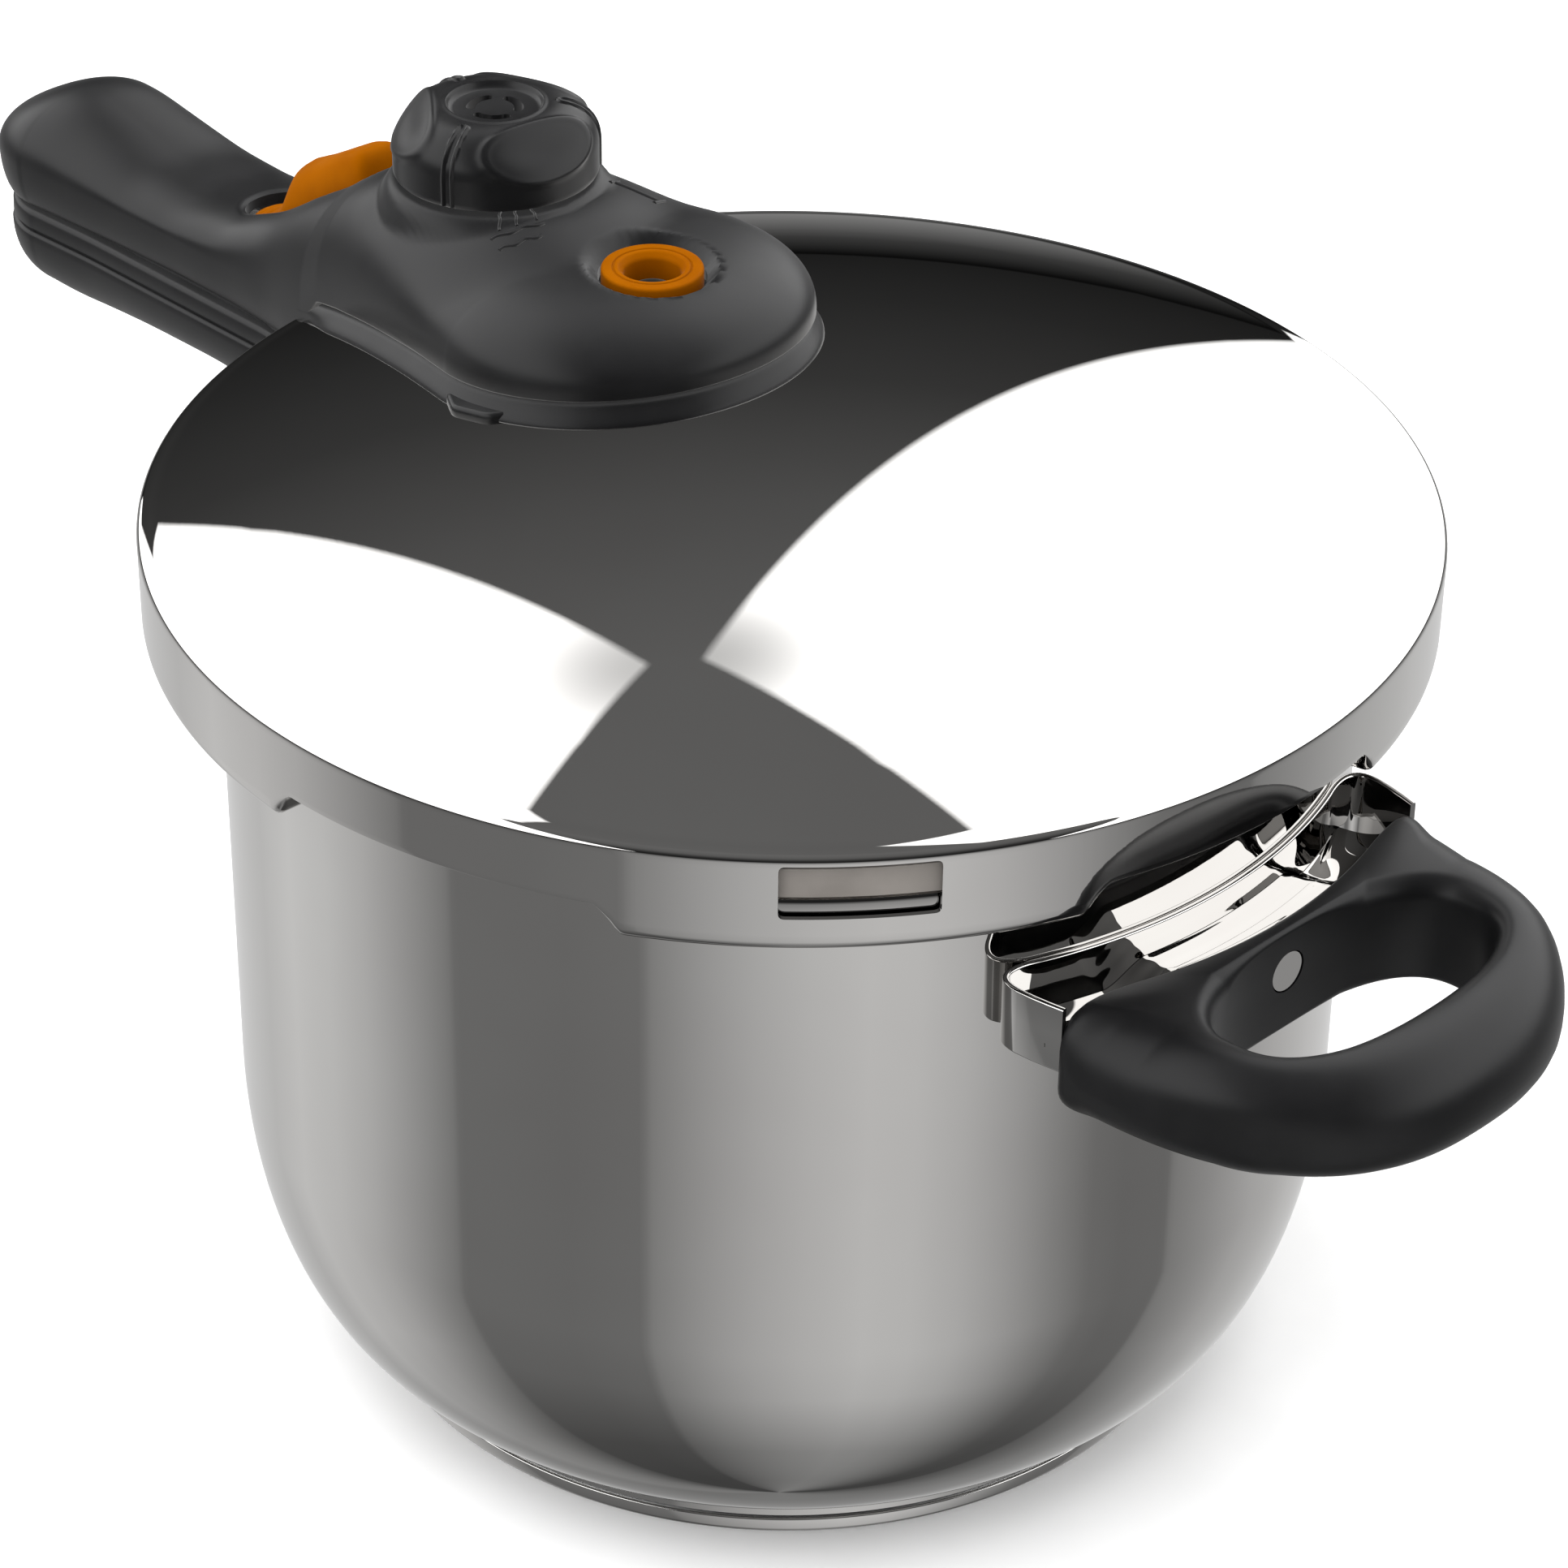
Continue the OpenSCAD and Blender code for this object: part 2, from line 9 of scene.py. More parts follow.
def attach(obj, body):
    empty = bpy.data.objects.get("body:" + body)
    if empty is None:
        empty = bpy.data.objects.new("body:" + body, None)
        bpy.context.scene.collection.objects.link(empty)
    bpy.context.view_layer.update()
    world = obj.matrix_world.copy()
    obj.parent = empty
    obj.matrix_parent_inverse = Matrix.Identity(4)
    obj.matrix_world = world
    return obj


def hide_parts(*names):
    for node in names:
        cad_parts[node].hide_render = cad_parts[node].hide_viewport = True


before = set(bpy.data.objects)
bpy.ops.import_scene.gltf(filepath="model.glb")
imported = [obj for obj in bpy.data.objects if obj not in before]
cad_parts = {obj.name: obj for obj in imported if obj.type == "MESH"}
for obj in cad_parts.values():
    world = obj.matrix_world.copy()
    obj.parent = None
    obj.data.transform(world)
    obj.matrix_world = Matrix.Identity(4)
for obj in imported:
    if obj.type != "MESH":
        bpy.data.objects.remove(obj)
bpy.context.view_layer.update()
print("frame loaded")

mm = 0.001
potSteps = 288   # columns around the pot and its base cap

def hexToLinear(code, alpha=1.0):
    # sRGB curve undone channel by channel
    values = [int(code[i:i + 2], 16) / 255 for i in (1, 3, 5)]
    linear = [v / 12.92 if v <= 0.04045 else ((v + 0.055) / 1.055) ** 2.4 for v in values]
    return (*linear, alpha)


def greyLinear(value):
    return hexToLinear("#" + f"{int(round(value)):02x}" * 3)[0]


def addNode(tree, kind, inputs=None, **settings):
    # inputs holds a number, a colour or another node's output for each socket
    node = tree.nodes.new(kind)
    for key, value in settings.items():
        setattr(node, key, value)
    for key, value in (inputs or {}).items():
        if isinstance(value, bpy.types.NodeSocket):
            tree.links.new(value, node.inputs[key])
        else:
            node.inputs[key].default_value = value
    return node


def setRamp(node, stops):
    # stops are position and colour; the ramp starts with two of its own
    ramp = node.color_ramp
    while len(ramp.elements) > 1:
        ramp.elements.remove(ramp.elements[-1])
    for i, (place, colour) in enumerate(stops):
        stop = ramp.elements[0] if i == 0 else ramp.elements.new(place)
        stop.position = place
        stop.color = colour
    return node


def smoothStep(low, high, x):
    # 0 below low, 1 above high, and a soft S between them
    t = np.clip((x - low) / (high - low), 0, 1)
    return t * t * (3 - 2 * t)


def smoothLine(x, knots, spread):
    # straight runs between knots, averaged with a bell curve of that spread in mm
    grain = 0.25
    fine = np.arange(-270, 40, grain)
    places, levels = np.array(sorted(knots), float).T
    half = int(4 * spread / grain) + 1
    bell = np.exp(-0.5 * (np.arange(-half, half + 1) * grain / spread) ** 2)
    line = np.convolve(np.pad(np.interp(fine, places, levels), half, mode="edge"), bell / bell.sum(), "valid")
    return np.interp(x, fine, line)


def gridFaces(rows, cols, closeRows=False, closeCols=False, first=0):
    # one quad between each pair of neighbouring rows and columns
    i = np.arange(rows if closeRows else rows - 1)
    j = np.arange(cols if closeCols else cols - 1)
    i, j = np.meshgrid(i, j, indexing="ij")
    down, right = (i + 1) % rows, (j + 1) % cols
    quads = np.stack([i * cols + j, i * cols + right, down * cols + right, down * cols + j], -1)
    return (quads.reshape(-1, 4) + first).tolist()


def closeEnds(rows, cols):
    # joins the first and the last column of an open grid
    return [[i * cols, (i + 1) * cols, (i + 2) * cols - 1, (i + 1) * cols - 1] for i in range(rows - 1)]


def wholeOutline(cx, cy, foot):
    # one side of a plan and its mirror image: foot on the middle line, reach and outward direction
    cx, foot = np.concatenate([cx, cx[-2::-1]]), np.concatenate([foot, foot[-2::-1]])
    cy = np.concatenate([cy, -cy[-2::-1]])
    reach = np.hypot(cx - foot, cy)
    return foot, reach, (cx - foot) / reach, cy / reach


def cleanMesh(mesh, sharpAngle, recalc=True):
    # doubles merged, normals outwards, and edges over the angle kept crisp
    bm = bmesh.new()
    bm.from_mesh(mesh)
    bmesh.ops.remove_doubles(bm, verts=bm.verts, dist=2e-6)
    bmesh.ops.dissolve_degenerate(bm, edges=bm.edges, dist=1e-6)
    bmesh.ops.delete(bm, geom=[e for e in bm.edges if not e.link_faces], context="EDGES")
    if recalc:
        bmesh.ops.recalc_face_normals(bm, faces=bm.faces)
    for face in bm.faces:
        face.smooth = True
    for edge in bm.edges:
        edge.smooth = len(edge.link_faces) != 2 or edge.calc_face_angle(0) < math.radians(sharpAngle)
    loose = sum(1 for e in bm.edges if len(e.link_faces) != 2)
    if loose:
        print("open edges", mesh.name, loose)
    bm.to_mesh(mesh)
    bm.free()


def makePiece(name, parts, sharpAngle=32):
    # parts are (points in mm, faces) pairs that make one mesh
    points, faces = [], []
    count = 0
    for partPoints, partFaces in parts:
        flat = np.asarray(partPoints, float).reshape(-1, 3)
        points.append(flat)
        faces += [[i + count for i in face] for face in partFaces]
        count += len(flat)
    mesh = bpy.data.meshes.new(name)
    mesh.from_pydata((np.concatenate(points) * mm).tolist(), [], faces)
    cleanMesh(mesh, sharpAngle)
    piece = bpy.data.objects.new(name, mesh)
    bpy.context.scene.collection.objects.link(piece)
    return piece


def settle(piece, body, slotName, material, *nodes):
    # the piece's body, finish and the CAD nodes that it stands for
    piece.data.materials.clear()
    piece.data.materials.append(material)
    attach(piece, body)
    if nodes:
        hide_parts(*nodes)
    print("made", piece.name, len(piece.data.polygons))
    return piece


def cutAway(piece, cutters, sharpAngle=32):
    # exact boolean difference, applied, then the cutters are dropped
    for cutter in cutters:
        cut = piece.modifiers.new("cut", "BOOLEAN")
        cut.operation = "DIFFERENCE"
        cut.solver = "EXACT"
        cut.object = cutter
    shape = piece.evaluated_get(bpy.context.evaluated_depsgraph_get())
    mesh = bpy.data.meshes.new_from_object(shape)
    print("cut", piece.name, len(piece.data.polygons), "->", len(mesh.polygons))
    piece.modifiers.clear()
    piece.data = mesh
    cleanMesh(mesh, sharpAngle, recalc=False)
    for cutter in cutters:
        bpy.data.objects.remove(cutter)
    return piece


def revolve(profile, cols=96, centre=(0, 0)):
    # a closed line of (radius, height) carried round an upright axis
    line = np.asarray(profile, float)
    turn = np.linspace(0, 2 * np.pi, cols, endpoint=False)
    x = line[:, :1] * np.cos(turn) + centre[0]
    y = line[:, :1] * np.sin(turn) + centre[1]
    z = np.broadcast_to(line[:, 1:], x.shape)
    return np.stack([x, y, z], -1), gridFaces(len(line), cols, True, True)


def roundCorners(points, radius, steps=5):
    # a closed line of points whose corners become short arcs
    points = np.asarray(points, float)
    before, after = np.roll(points, 1, 0), np.roll(points, -1, 0)
    toBefore, toAfter = before - points, after - points
    lenBefore = np.linalg.norm(toBefore, axis=1, keepdims=True)
    lenAfter = np.linalg.norm(toAfter, axis=1, keepdims=True)
    reach = np.minimum(np.broadcast_to(np.asarray(radius, float).reshape(-1, 1), lenBefore.shape),
                       0.45 * np.minimum(lenBefore, lenAfter))
    start = points + toBefore / lenBefore * reach
    end = points + toAfter / lenAfter * reach
    t = np.linspace(0, 1, steps).reshape(1, -1, 1)
    arcs = (1 - t) ** 2 * start[:, None] + 2 * t * (1 - t) * points[:, None] + t ** 2 * end[:, None]
    return arcs.reshape(-1, 2)


def prism(outline, low, high):
    # a closed plan outline raised between two levels, for cutters
    outline = np.asarray(outline, float)
    count = len(outline)
    points = np.concatenate([np.c_[outline, np.full(count, low)], np.c_[outline, np.full(count, high)]])
    faces = [list(range(count))[::-1], list(range(count, 2 * count))]
    faces += [[i, (i + 1) % count, count + (i + 1) % count, count + i] for i in range(count)]
    return points, faces


def circle(x, y, r, count=64):
    turn = np.linspace(0, 2 * np.pi, count, endpoint=False)
    return np.c_[x + r * np.cos(turn), y + r * np.sin(turn)]


def rectangle(x0, x1, half):
    return [[x0, -half], [x0, half], [x1, half], [x1, -half]]


def newMaterial(name):
    material = bpy.data.materials.new(name)
    material.use_nodes = True
    tree = material.node_tree
    tree.nodes.clear()
    shader = addNode(tree, "ShaderNodeBsdfPrincipled")
    addNode(tree, "ShaderNodeOutputMaterial", {"Surface": shader.outputs["BSDF"]})
    return material, tree, shader


def objectSpace(tree, stretch=(1, 1, 1)):
    coords = addNode(tree, "ShaderNodeTexCoord")
    return addNode(tree, "ShaderNodeMapping",
                   {"Vector": coords.outputs["Object"], "Scale": stretch}).outputs["Vector"]


def steelFinish(name, settings):
    # rolled or polished sheet: fine lines along the polishing direction, a few soft smears
    material, tree, shader = newMaterial(name)
    lines = addNode(tree, "ShaderNodeTexNoise", {
        "Vector": objectSpace(tree, settings["lineStretch"]), "Scale": 1.0, "Detail": 4.0, "Roughness": 0.6})
    smears = addNode(tree, "ShaderNodeTexNoise", {
        "Vector": objectSpace(tree), "Scale": settings["smearScale"], "Detail": 3.0})
    mixed = addNode(tree, "ShaderNodeMath", {
        0: lines.outputs["Fac"], 1: smears.outputs["Fac"]}, operation="MULTIPLY")
    rough = addNode(tree, "ShaderNodeMapRange", {
        "Value": mixed.outputs[0], "From Min": 0.1, "From Max": 0.5,
        "To Min": settings["roughLow"], "To Max": settings["roughHigh"]})
    tint = setRamp(addNode(tree, "ShaderNodeValToRGB", {"Fac": smears.outputs["Fac"]}), [
        (0.3, hexToLinear(settings["darkTint"])), (0.7, hexToLinear(settings["lightTint"]))])
    bump = addNode(tree, "ShaderNodeBump", {
        "Height": lines.outputs["Fac"], "Strength": settings["bump"], "Distance": 0.00002})
    tree.links.new(tint.outputs["Color"], shader.inputs["Base Color"])
    tree.links.new(rough.outputs["Result"], shader.inputs["Roughness"])
    tree.links.new(bump.outputs["Normal"], shader.inputs["Normal"])
    shader.inputs["Metallic"].default_value = 1.0
    return material


def mouldedFinish(name, settings):
    # moulded plastic: spark-eroded grain, faint flow marks and slightly worn gloss
    material, tree, shader = newMaterial(name)
    grain = addNode(tree, "ShaderNodeTexNoise", {
        "Vector": objectSpace(tree), "Scale": 1 / (settings["grainSize"] * mm), "Detail": 2.0,
        "Roughness": 0.5})
    flow = addNode(tree, "ShaderNodeTexNoise", {
        "Vector": objectSpace(tree), "Scale": 1 / (settings["flowSize"] * mm), "Detail": 4.0})
    colour = setRamp(addNode(tree, "ShaderNodeValToRGB", {"Fac": flow.outputs["Fac"]}), [
        (0.35, hexToLinear(settings["darkTint"])), (0.65, hexToLinear(settings["lightTint"]))])
    rough = addNode(tree, "ShaderNodeMapRange", {
        "Value": flow.outputs["Fac"], "From Min": 0.3, "From Max": 0.7,
        "To Min": settings["roughLow"], "To Max": settings["roughHigh"]})
    bump = addNode(tree, "ShaderNodeBump", {
        "Height": grain.outputs["Fac"], "Strength": settings["bump"], "Distance": 0.00005})
    tree.links.new(colour.outputs["Color"], shader.inputs["Base Color"])
    tree.links.new(rough.outputs["Result"], shader.inputs["Roughness"])
    tree.links.new(bump.outputs["Normal"], shader.inputs["Normal"])
    shader.inputs["IOR"].default_value = settings["ior"]
    shader.inputs["Specular IOR Level"].default_value = settings["specular"]
    return material


# Stainless steel 18/10, buffed to a mirror: sharp reflections with faint buffing lines, 0.4 mm apart
polishedSteel = steelFinish("mirrorPolishedStainless", {
    "lineStretch": (30, 30, 2500), "smearScale": 14, "roughLow": 0.008, "roughHigh": 0.02,
    "darkTint": "#cbc9c7", "lightTint": "#d2d1cf", "bump": 0.02})
# Stainless steel as rolled or turned: a satin sheen with visible 0.3 mm lines
brushedSteel = steelFinish("satinStainless", {
    "lineStretch": (250, 250, 3300), "smearScale": 40, "roughLow": 0.2, "roughHigh": 0.34,
    "darkTint": "#b7b5b2", "lightTint": "#c9c8c6", "bump": 0.25})
# Spring wire, drawn and patented: darker, with draw marks
springWire = steelFinish("drawnSpringWire", {
    "lineStretch": (600, 600, 4000), "smearScale": 90, "roughLow": 0.24, "roughHigh": 0.4,
    "darkTint": "#8f8e8c", "lightTint": "#a9a8a6", "bump": 0.3})
# Pressed aluminium disc: pale, dull and slightly grainy
pressedAluminium = steelFinish("pressedAluminium", {
    "lineStretch": (900, 900, 900), "smearScale": 30, "roughLow": 0.36, "roughHigh": 0.5,
    "darkTint": "#c4c5c6", "lightTint": "#d6d7d8", "bump": 0.35})
# Phenolic resin, compression moulded and lightly grained: a near black with a broad soft sheen
blackPhenolic = mouldedFinish("mouldedBlackPhenolic", {
    "grainSize": 0.45, "flowSize": 16, "darkTint": "#101011", "lightTint": "#151516",
    "roughLow": 0.36, "roughHigh": 0.43, "bump": 0.1, "ior": 1.46, "specular": 0.31})
# Glass-filled nylon, injection moulded: a little darker and smoother than the handles
blackNylon = mouldedFinish("mouldedBlackNylon", {
    "grainSize": 0.35, "flowSize": 9, "darkTint": "#0f0f10", "lightTint": "#131314",
    "roughLow": 0.32, "roughHigh": 0.4, "bump": 0.08, "ior": 1.46, "specular": 0.32})
# Orange nylon, coloured in the mass: flat warm orange with almost no gloss
orangeNylon = mouldedFinish("mouldedOrangeNylon", {
    "grainSize": 0.4, "flowSize": 8, "darkTint": "#834600", "lightTint": "#8b4c00",
    "roughLow": 0.5, "roughHigh": 0.58, "bump": 0.08, "ior": 1.46, "specular": 0.01})
# Silicone rubber, press moulded: warm grey, soft and dusty
siliconeRubber = mouldedFinish("greySilicone", {
    "grainSize": 0.6, "flowSize": 12, "darkTint": "#736e69", "lightTint": "#7e7974",
    "roughLow": 0.55, "roughHigh": 0.68, "bump": 0.1, "ior": 1.42, "specular": 0.4})
print("materials made")

# lid levels shared by several pieces
lid = {
    "edgeZ": 184.0, "edgeR": 123.0, "rise": 18.0, "outerR": 125.0, "sheet": 1.0, "roll": 1.6,
    "shallowZ": 170.9, "deepZ": 164.2, "lipR": 116.5, "claws": 5, "clawSpan": 40.0, "clawStart": -39.4,
    "stepSpan": 2.6, "window": (-45.7, -32.7, 171.2, 182.0),
}
sphereR = (lid["edgeR"] ** 2 + lid["rise"] ** 2) / (2 * lid["rise"])
sphereZ = lid["edgeZ"] + lid["rise"] - sphereR


def domeZ(x, y=0.0):
    # height of the lid's outer face above a point of the plan
    return sphereZ + np.sqrt(np.maximum(sphereR ** 2 - np.asarray(x) ** 2 - np.asarray(y) ** 2, 1))


# pot body
pot = {
    "r": 110.8, "wall": 0.8, "floorR": 88.4, "stepZ": 9.5, "cornerZ": 62.9, "floorZ": 3.9,
    "rimZ": 174.3, "flareOut": 3.2, "flareHigh": 6.0, "lip": 0.8, "flangeR": 115.5, "lugR": 123.2, "lugLowZ": 167.4,
    "lugSpan": 28.0,
}


def potProfile(wall):
    # base, step, elliptical corner, straight wall and flared rim; wall moves the line inwards
    turn = np.radians(np.linspace(-88, 0, 44))
    corner = np.c_[pot["floorR"] + (pot["r"] - pot["floorR"] - wall) * np.cos(turn),
                   pot["cornerZ"] + (pot["cornerZ"] - pot["stepZ"] - wall) * np.sin(turn)]
    flare = np.linspace(0, 1, 10)
    high = pot["flareHigh"]
    rim = np.c_[pot["r"] - wall + (pot["flareOut"] + wall) * flare ** 2.2,
                pot["rimZ"] - high + (high - pot["lip"] + wall) * np.sin(flare * np.pi / 2)]
    floorR, floorZ = pot["floorR"] - wall, pot["floorZ"] + wall
    foot = np.array([[0, floorZ], [40, floorZ], [80, floorZ], [floorR - 0.6, floorZ], [floorR, floorZ + 0.6],
                     [floorR, pot["stepZ"] - 0.4]])
    wallLine = np.c_[np.full(12, pot["r"] - wall), np.linspace(pot["cornerZ"] + 4, pot["rimZ"] - 8, 12)]
    return np.concatenate([foot, corner, wallLine, rim])


outerLine, innerLine = potProfile(0.0), potProfile(pot["wall"])
flange = np.array([pot["flangeR"], pot["rimZ"]]) - [[0.4, pot["lip"]], [0, 0.4], [0.4, 0]]
parts = [revolve(np.concatenate([outerLine, flange, innerLine[::-1]]), potSteps)]


def lugPart(middle):
    # an L section along an arc whose height tapers off at both ends
    t = np.linspace(-1, 1, 41)
    turn = np.radians(middle + t * pot["lugSpan"] / 2)
    full = 1 - np.abs(t) ** 14
    low = pot["rimZ"] - 1.4 - (pot["rimZ"] - 1.4 - pot["lugLowZ"]) * full
    reach = pot["flangeR"] - 1 + (pot["lugR"] - pot["flangeR"] + 1) * (0.9 + 0.1 * full)
    inner = np.full_like(t, pot["flangeR"] - 1)
    top, sheet = np.full_like(t, pot["rimZ"]), pot["wall"]
    section = [(inner, top), (reach - 1.4, top), (reach - 0.4, top - 0.4), (reach, top - 1.3),
               (reach, low + 0.3), (reach - 0.4, low), (reach - sheet, low + 0.3), (reach - sheet, top - 1.3),
               (reach - 1.4, top - sheet), (inner, top - sheet)]
    r, z = np.array([p[0] for p in section]), np.array([p[1] for p in section])
    points = np.stack([r * np.cos(turn), r * np.sin(turn), z], -1)
    rows, cols = r.shape
    faces = gridFaces(rows, cols, True, False)
    faces += [[i * cols for i in range(rows)], [i * cols + cols - 1 for i in range(rows)][::-1]]
    return points, faces


parts += [lugPart(lid["clawStart"] + 72 * k) for k in range(lid["claws"])]
settle(makePiece("potBody", parts), "pot", "polished_steel", polishedSteel, "pot_body")

base = {"r": 88.4, "topZ": 3.4, "round": 1.1, "sheet": 0.6}
capLine = roundCorners([[0, 0], [base["r"], 0], [base["r"], base["topZ"]], [base["r"] - 1, base["topZ"]],
                        [base["r"] - 1, base["sheet"]], [0, base["sheet"]]],
                       [0.01, base["round"], 0.3, 0.3, 0.3, 0.01])
settle(makePiece("baseCap", [revolve(capLine, potSteps)]), "pot", "polished_steel", polishedSteel, "base_cap")

def lidSurface():
    # dome, rolled edge, skirt and turned-in lip; the depth of the skirt changes with the angle
    steps = np.linspace(0, 360, 361)[:-1]
    span, half = lid["stepSpan"], lid["clawSpan"] / 2
    middles = lid["clawStart"] + 72 * np.arange(lid["claws"])
    # extra columns where the skirt steps down
    extra = [m + s * (half + span * (f - 0.5))
             for m in middles for s in (-1, 1) for f in np.linspace(-0.6, 1.6, 14)]
    angles = np.unique(np.round(np.mod(np.concatenate([steps, extra]), 360), 4))
    away = np.abs((angles[:, None] - middles[None] + 180) % 360 - 180).min(1)
    deep = 1 - smoothStep(half - span / 2, half + span / 2, away)
    lip = 1 - smoothStep(half - span * 0.2, half + span * 0.35, away)
    low = lid["shallowZ"] + (lid["deepZ"] - lid["shallowZ"]) * deep
    ones = np.ones_like(angles)
    out = []   # (radius, height) arrays along the outer face
    rollTop = lid["edgeZ"] - lid["roll"]
    for r in np.concatenate([np.linspace(0, 100, 26), np.linspace(104, lid["outerR"] - 2.6, 12)]):
        out.append((r * ones, domeZ(r) * ones))
    for a in np.radians(np.linspace(72, 0, 8)):
        out.append(((lid["outerR"] - lid["roll"] + lid["roll"] * np.cos(a)) * ones,
                    (rollTop + lid["roll"] * np.sin(a)) * ones))
    bend = 0.15 + 2.2 * lip
    for f in np.linspace(0.06, 1, 12):
        out.append((lid["outerR"] * ones, rollTop + (low + bend - rollTop) * f))
    for a in np.radians(np.linspace(15, 90, 6)):
        out.append((lid["outerR"] - bend * (1 - np.cos(a)), low + bend * (1 - np.sin(a))))
    length = 0.2 + (lid["outerR"] - lid["lipR"] - 2.4) * lip
    for f in (0.4, 1.0):
        out.append((lid["outerR"] - bend - length * f, low))
    r, z = np.array([p[0] for p in out]), np.array([p[1] for p in out])
    dr, dz = np.gradient(r, axis=0), np.gradient(z, axis=0)
    size = np.hypot(dr, dz)
    keep = np.r_[0:26:3, 26:len(out)]
    inR = np.maximum(r + dz / size * lid["sheet"], 0)[keep]
    inZ = (z - dr / size * lid["sheet"])[keep]
    inR[0] = 0
    allR, allZ = np.concatenate([r, inR[::-1]]), np.concatenate([z, inZ[::-1]])
    turn = np.radians(angles)
    points = np.stack([allR * np.cos(turn), allR * np.sin(turn), allZ], -1)
    return points, gridFaces(len(allR), len(angles), False, True)


def windowCutter():
    # a rounded rectangle in angle and height, carried through the skirt
    a0, a1, z0, z1 = lid["window"]
    across = (a1 - a0) / 180 * np.pi * lid["outerR"]
    line = roundCorners([[0, z0], [across / 2, z0], [across, z0], [across, z1], [across / 2, z1], [0, z1]],
                        [1.2, 0.01, 1.2, 1.2, 0.01, 1.2], 6)
    # points every 0.6 mm along the long sides follow the curve of the skirt
    dense = []
    for p, q in zip(line, np.roll(line, -1, 0)):
        count = max(1, int(np.linalg.norm(q - p) / 0.6))
        dense += [p + (q - p) * i / count for i in range(count)]
    dense = np.array(dense)
    turn = np.radians(a0) + dense[:, 0] / lid["outerR"]
    rings = [np.c_[r * np.cos(turn), r * np.sin(turn), dense[:, 1]]
             for r in (lid["outerR"] - 4, lid["outerR"] + 4)]
    count = len(dense)
    faces = [list(range(count)), list(range(count, 2 * count))]
    faces += [[i, (i + 1) % count, count + (i + 1) % count, count + i] for i in range(count)]
    return np.concatenate(rings), faces


lidShell = makePiece("lidShell", [lidSurface()])
holes = [(-84, 0, 5.1), (-39, 0, 5.1), (-62, -19, 5.6)]   # valve tube, indicator and relief valve
lidShell = cutAway(lidShell, [makePiece("windowCutter", [windowCutter()])]
                   + [makePiece("holeCutter", [prism(circle(*h, 48), 190, 215)]) for h in holes])
settle(lidShell, "lid", "polished_steel", polishedSteel, "lid_shell")

# long handle: cover and base
cover = {
    "headX": -48.5, "headR": 38.5, "tangent": 103.3, "endX": -218.0, "endR": 20.0,
    "halfWidth": [(-270, 20), (-218, 20), (-205, 19.2), (-190, 18.3), (-170, 17.8), (-150, 18), (-135, 19.2),
                  (-120, 22.5), (-105, 25.5), (-90, 29), (-75, 32.8), (-57.36, 37.47), (-20, 46.3)],
    "top": [(-270, 197.0), (-224, 197.0), (-214, 197.3), (-200, 194.1), (-185, 190.6), (-170, 189.6),
            (-155, 191.9), (-140, 198.0), (-125, 207.0), (-112, 214.4), (-100, 218.2), (-84, 219.6), (-48, 219.8),
            (20, 219.8)],
    "seam": [(-130, 187.2), (-121.5, 189.6), (-105, 193.9), (-90, 197), (-70, 200.4), (-48, 203), (-25, 205.6),
             (-10, 207.4), (20, 209.9)],
    "notchX": (-127.5, -112.5), "gripMidZ": 184.2, "gripLowZ": 174.0, "headLowZ": 192.2,
    "gripInset": 0.14, "wall": 2.6,
    "upRows": 46, "lowRows": 9,
}


def sideLine(x):
    return smoothLine(x, cover["halfWidth"], 3.5)


def handleOutline(fromX=None, density=1.0):
    # head arc, tapering side, end arc and the other side; each point has its foot on the middle line
    n = lambda count: max(8, int(count * density))
    head = np.radians(np.linspace(-cover["tangent"], cover["tangent"], n(170)))
    headPart = np.stack([cover["headX"] + cover["headR"] * np.cos(head), cover["headR"] * np.sin(head),
                         np.full_like(head, cover["headX"])])
    startX = headPart[0, -1]
    x = np.linspace(startX, cover["endX"], n(250))[1:-1]
    w = sideLine(x)
    slope = sideLine(x + 0.5) - sideLine(x - 0.5)
    foot = np.clip(x + w * slope, cover["endX"], cover["headX"])
    sidePart = np.stack([x, w, foot])
    end = np.radians(np.linspace(90, 270, n(80)))
    endPart = np.stack([cover["endX"] + cover["endR"] * np.cos(end), cover["endR"] * np.sin(end),
                        np.full_like(end, cover["endX"])])
    back = sidePart[:, ::-1] * np.array([[1], [-1], [1]])
    if fromX is not None:
        keep = sidePart[:, sidePart[0] > fromX]
        line = np.concatenate([keep[:, ::-1] * np.array([[1], [-1], [1]]), headPart, keep], 1)
    else:
        line = np.concatenate([headPart, sidePart, endPart, back], 1)
    gapX, gapY = line[0] - line[2], line[1]
    reach = np.hypot(gapX, gapY)
    return line[0], line[2], reach, gapX / reach, gapY / reach


def endFall(x):
    # the crown gets lower over the last 20 mm of the handle
    return 1 - 0.26 * smoothStep(-216, -236, x)


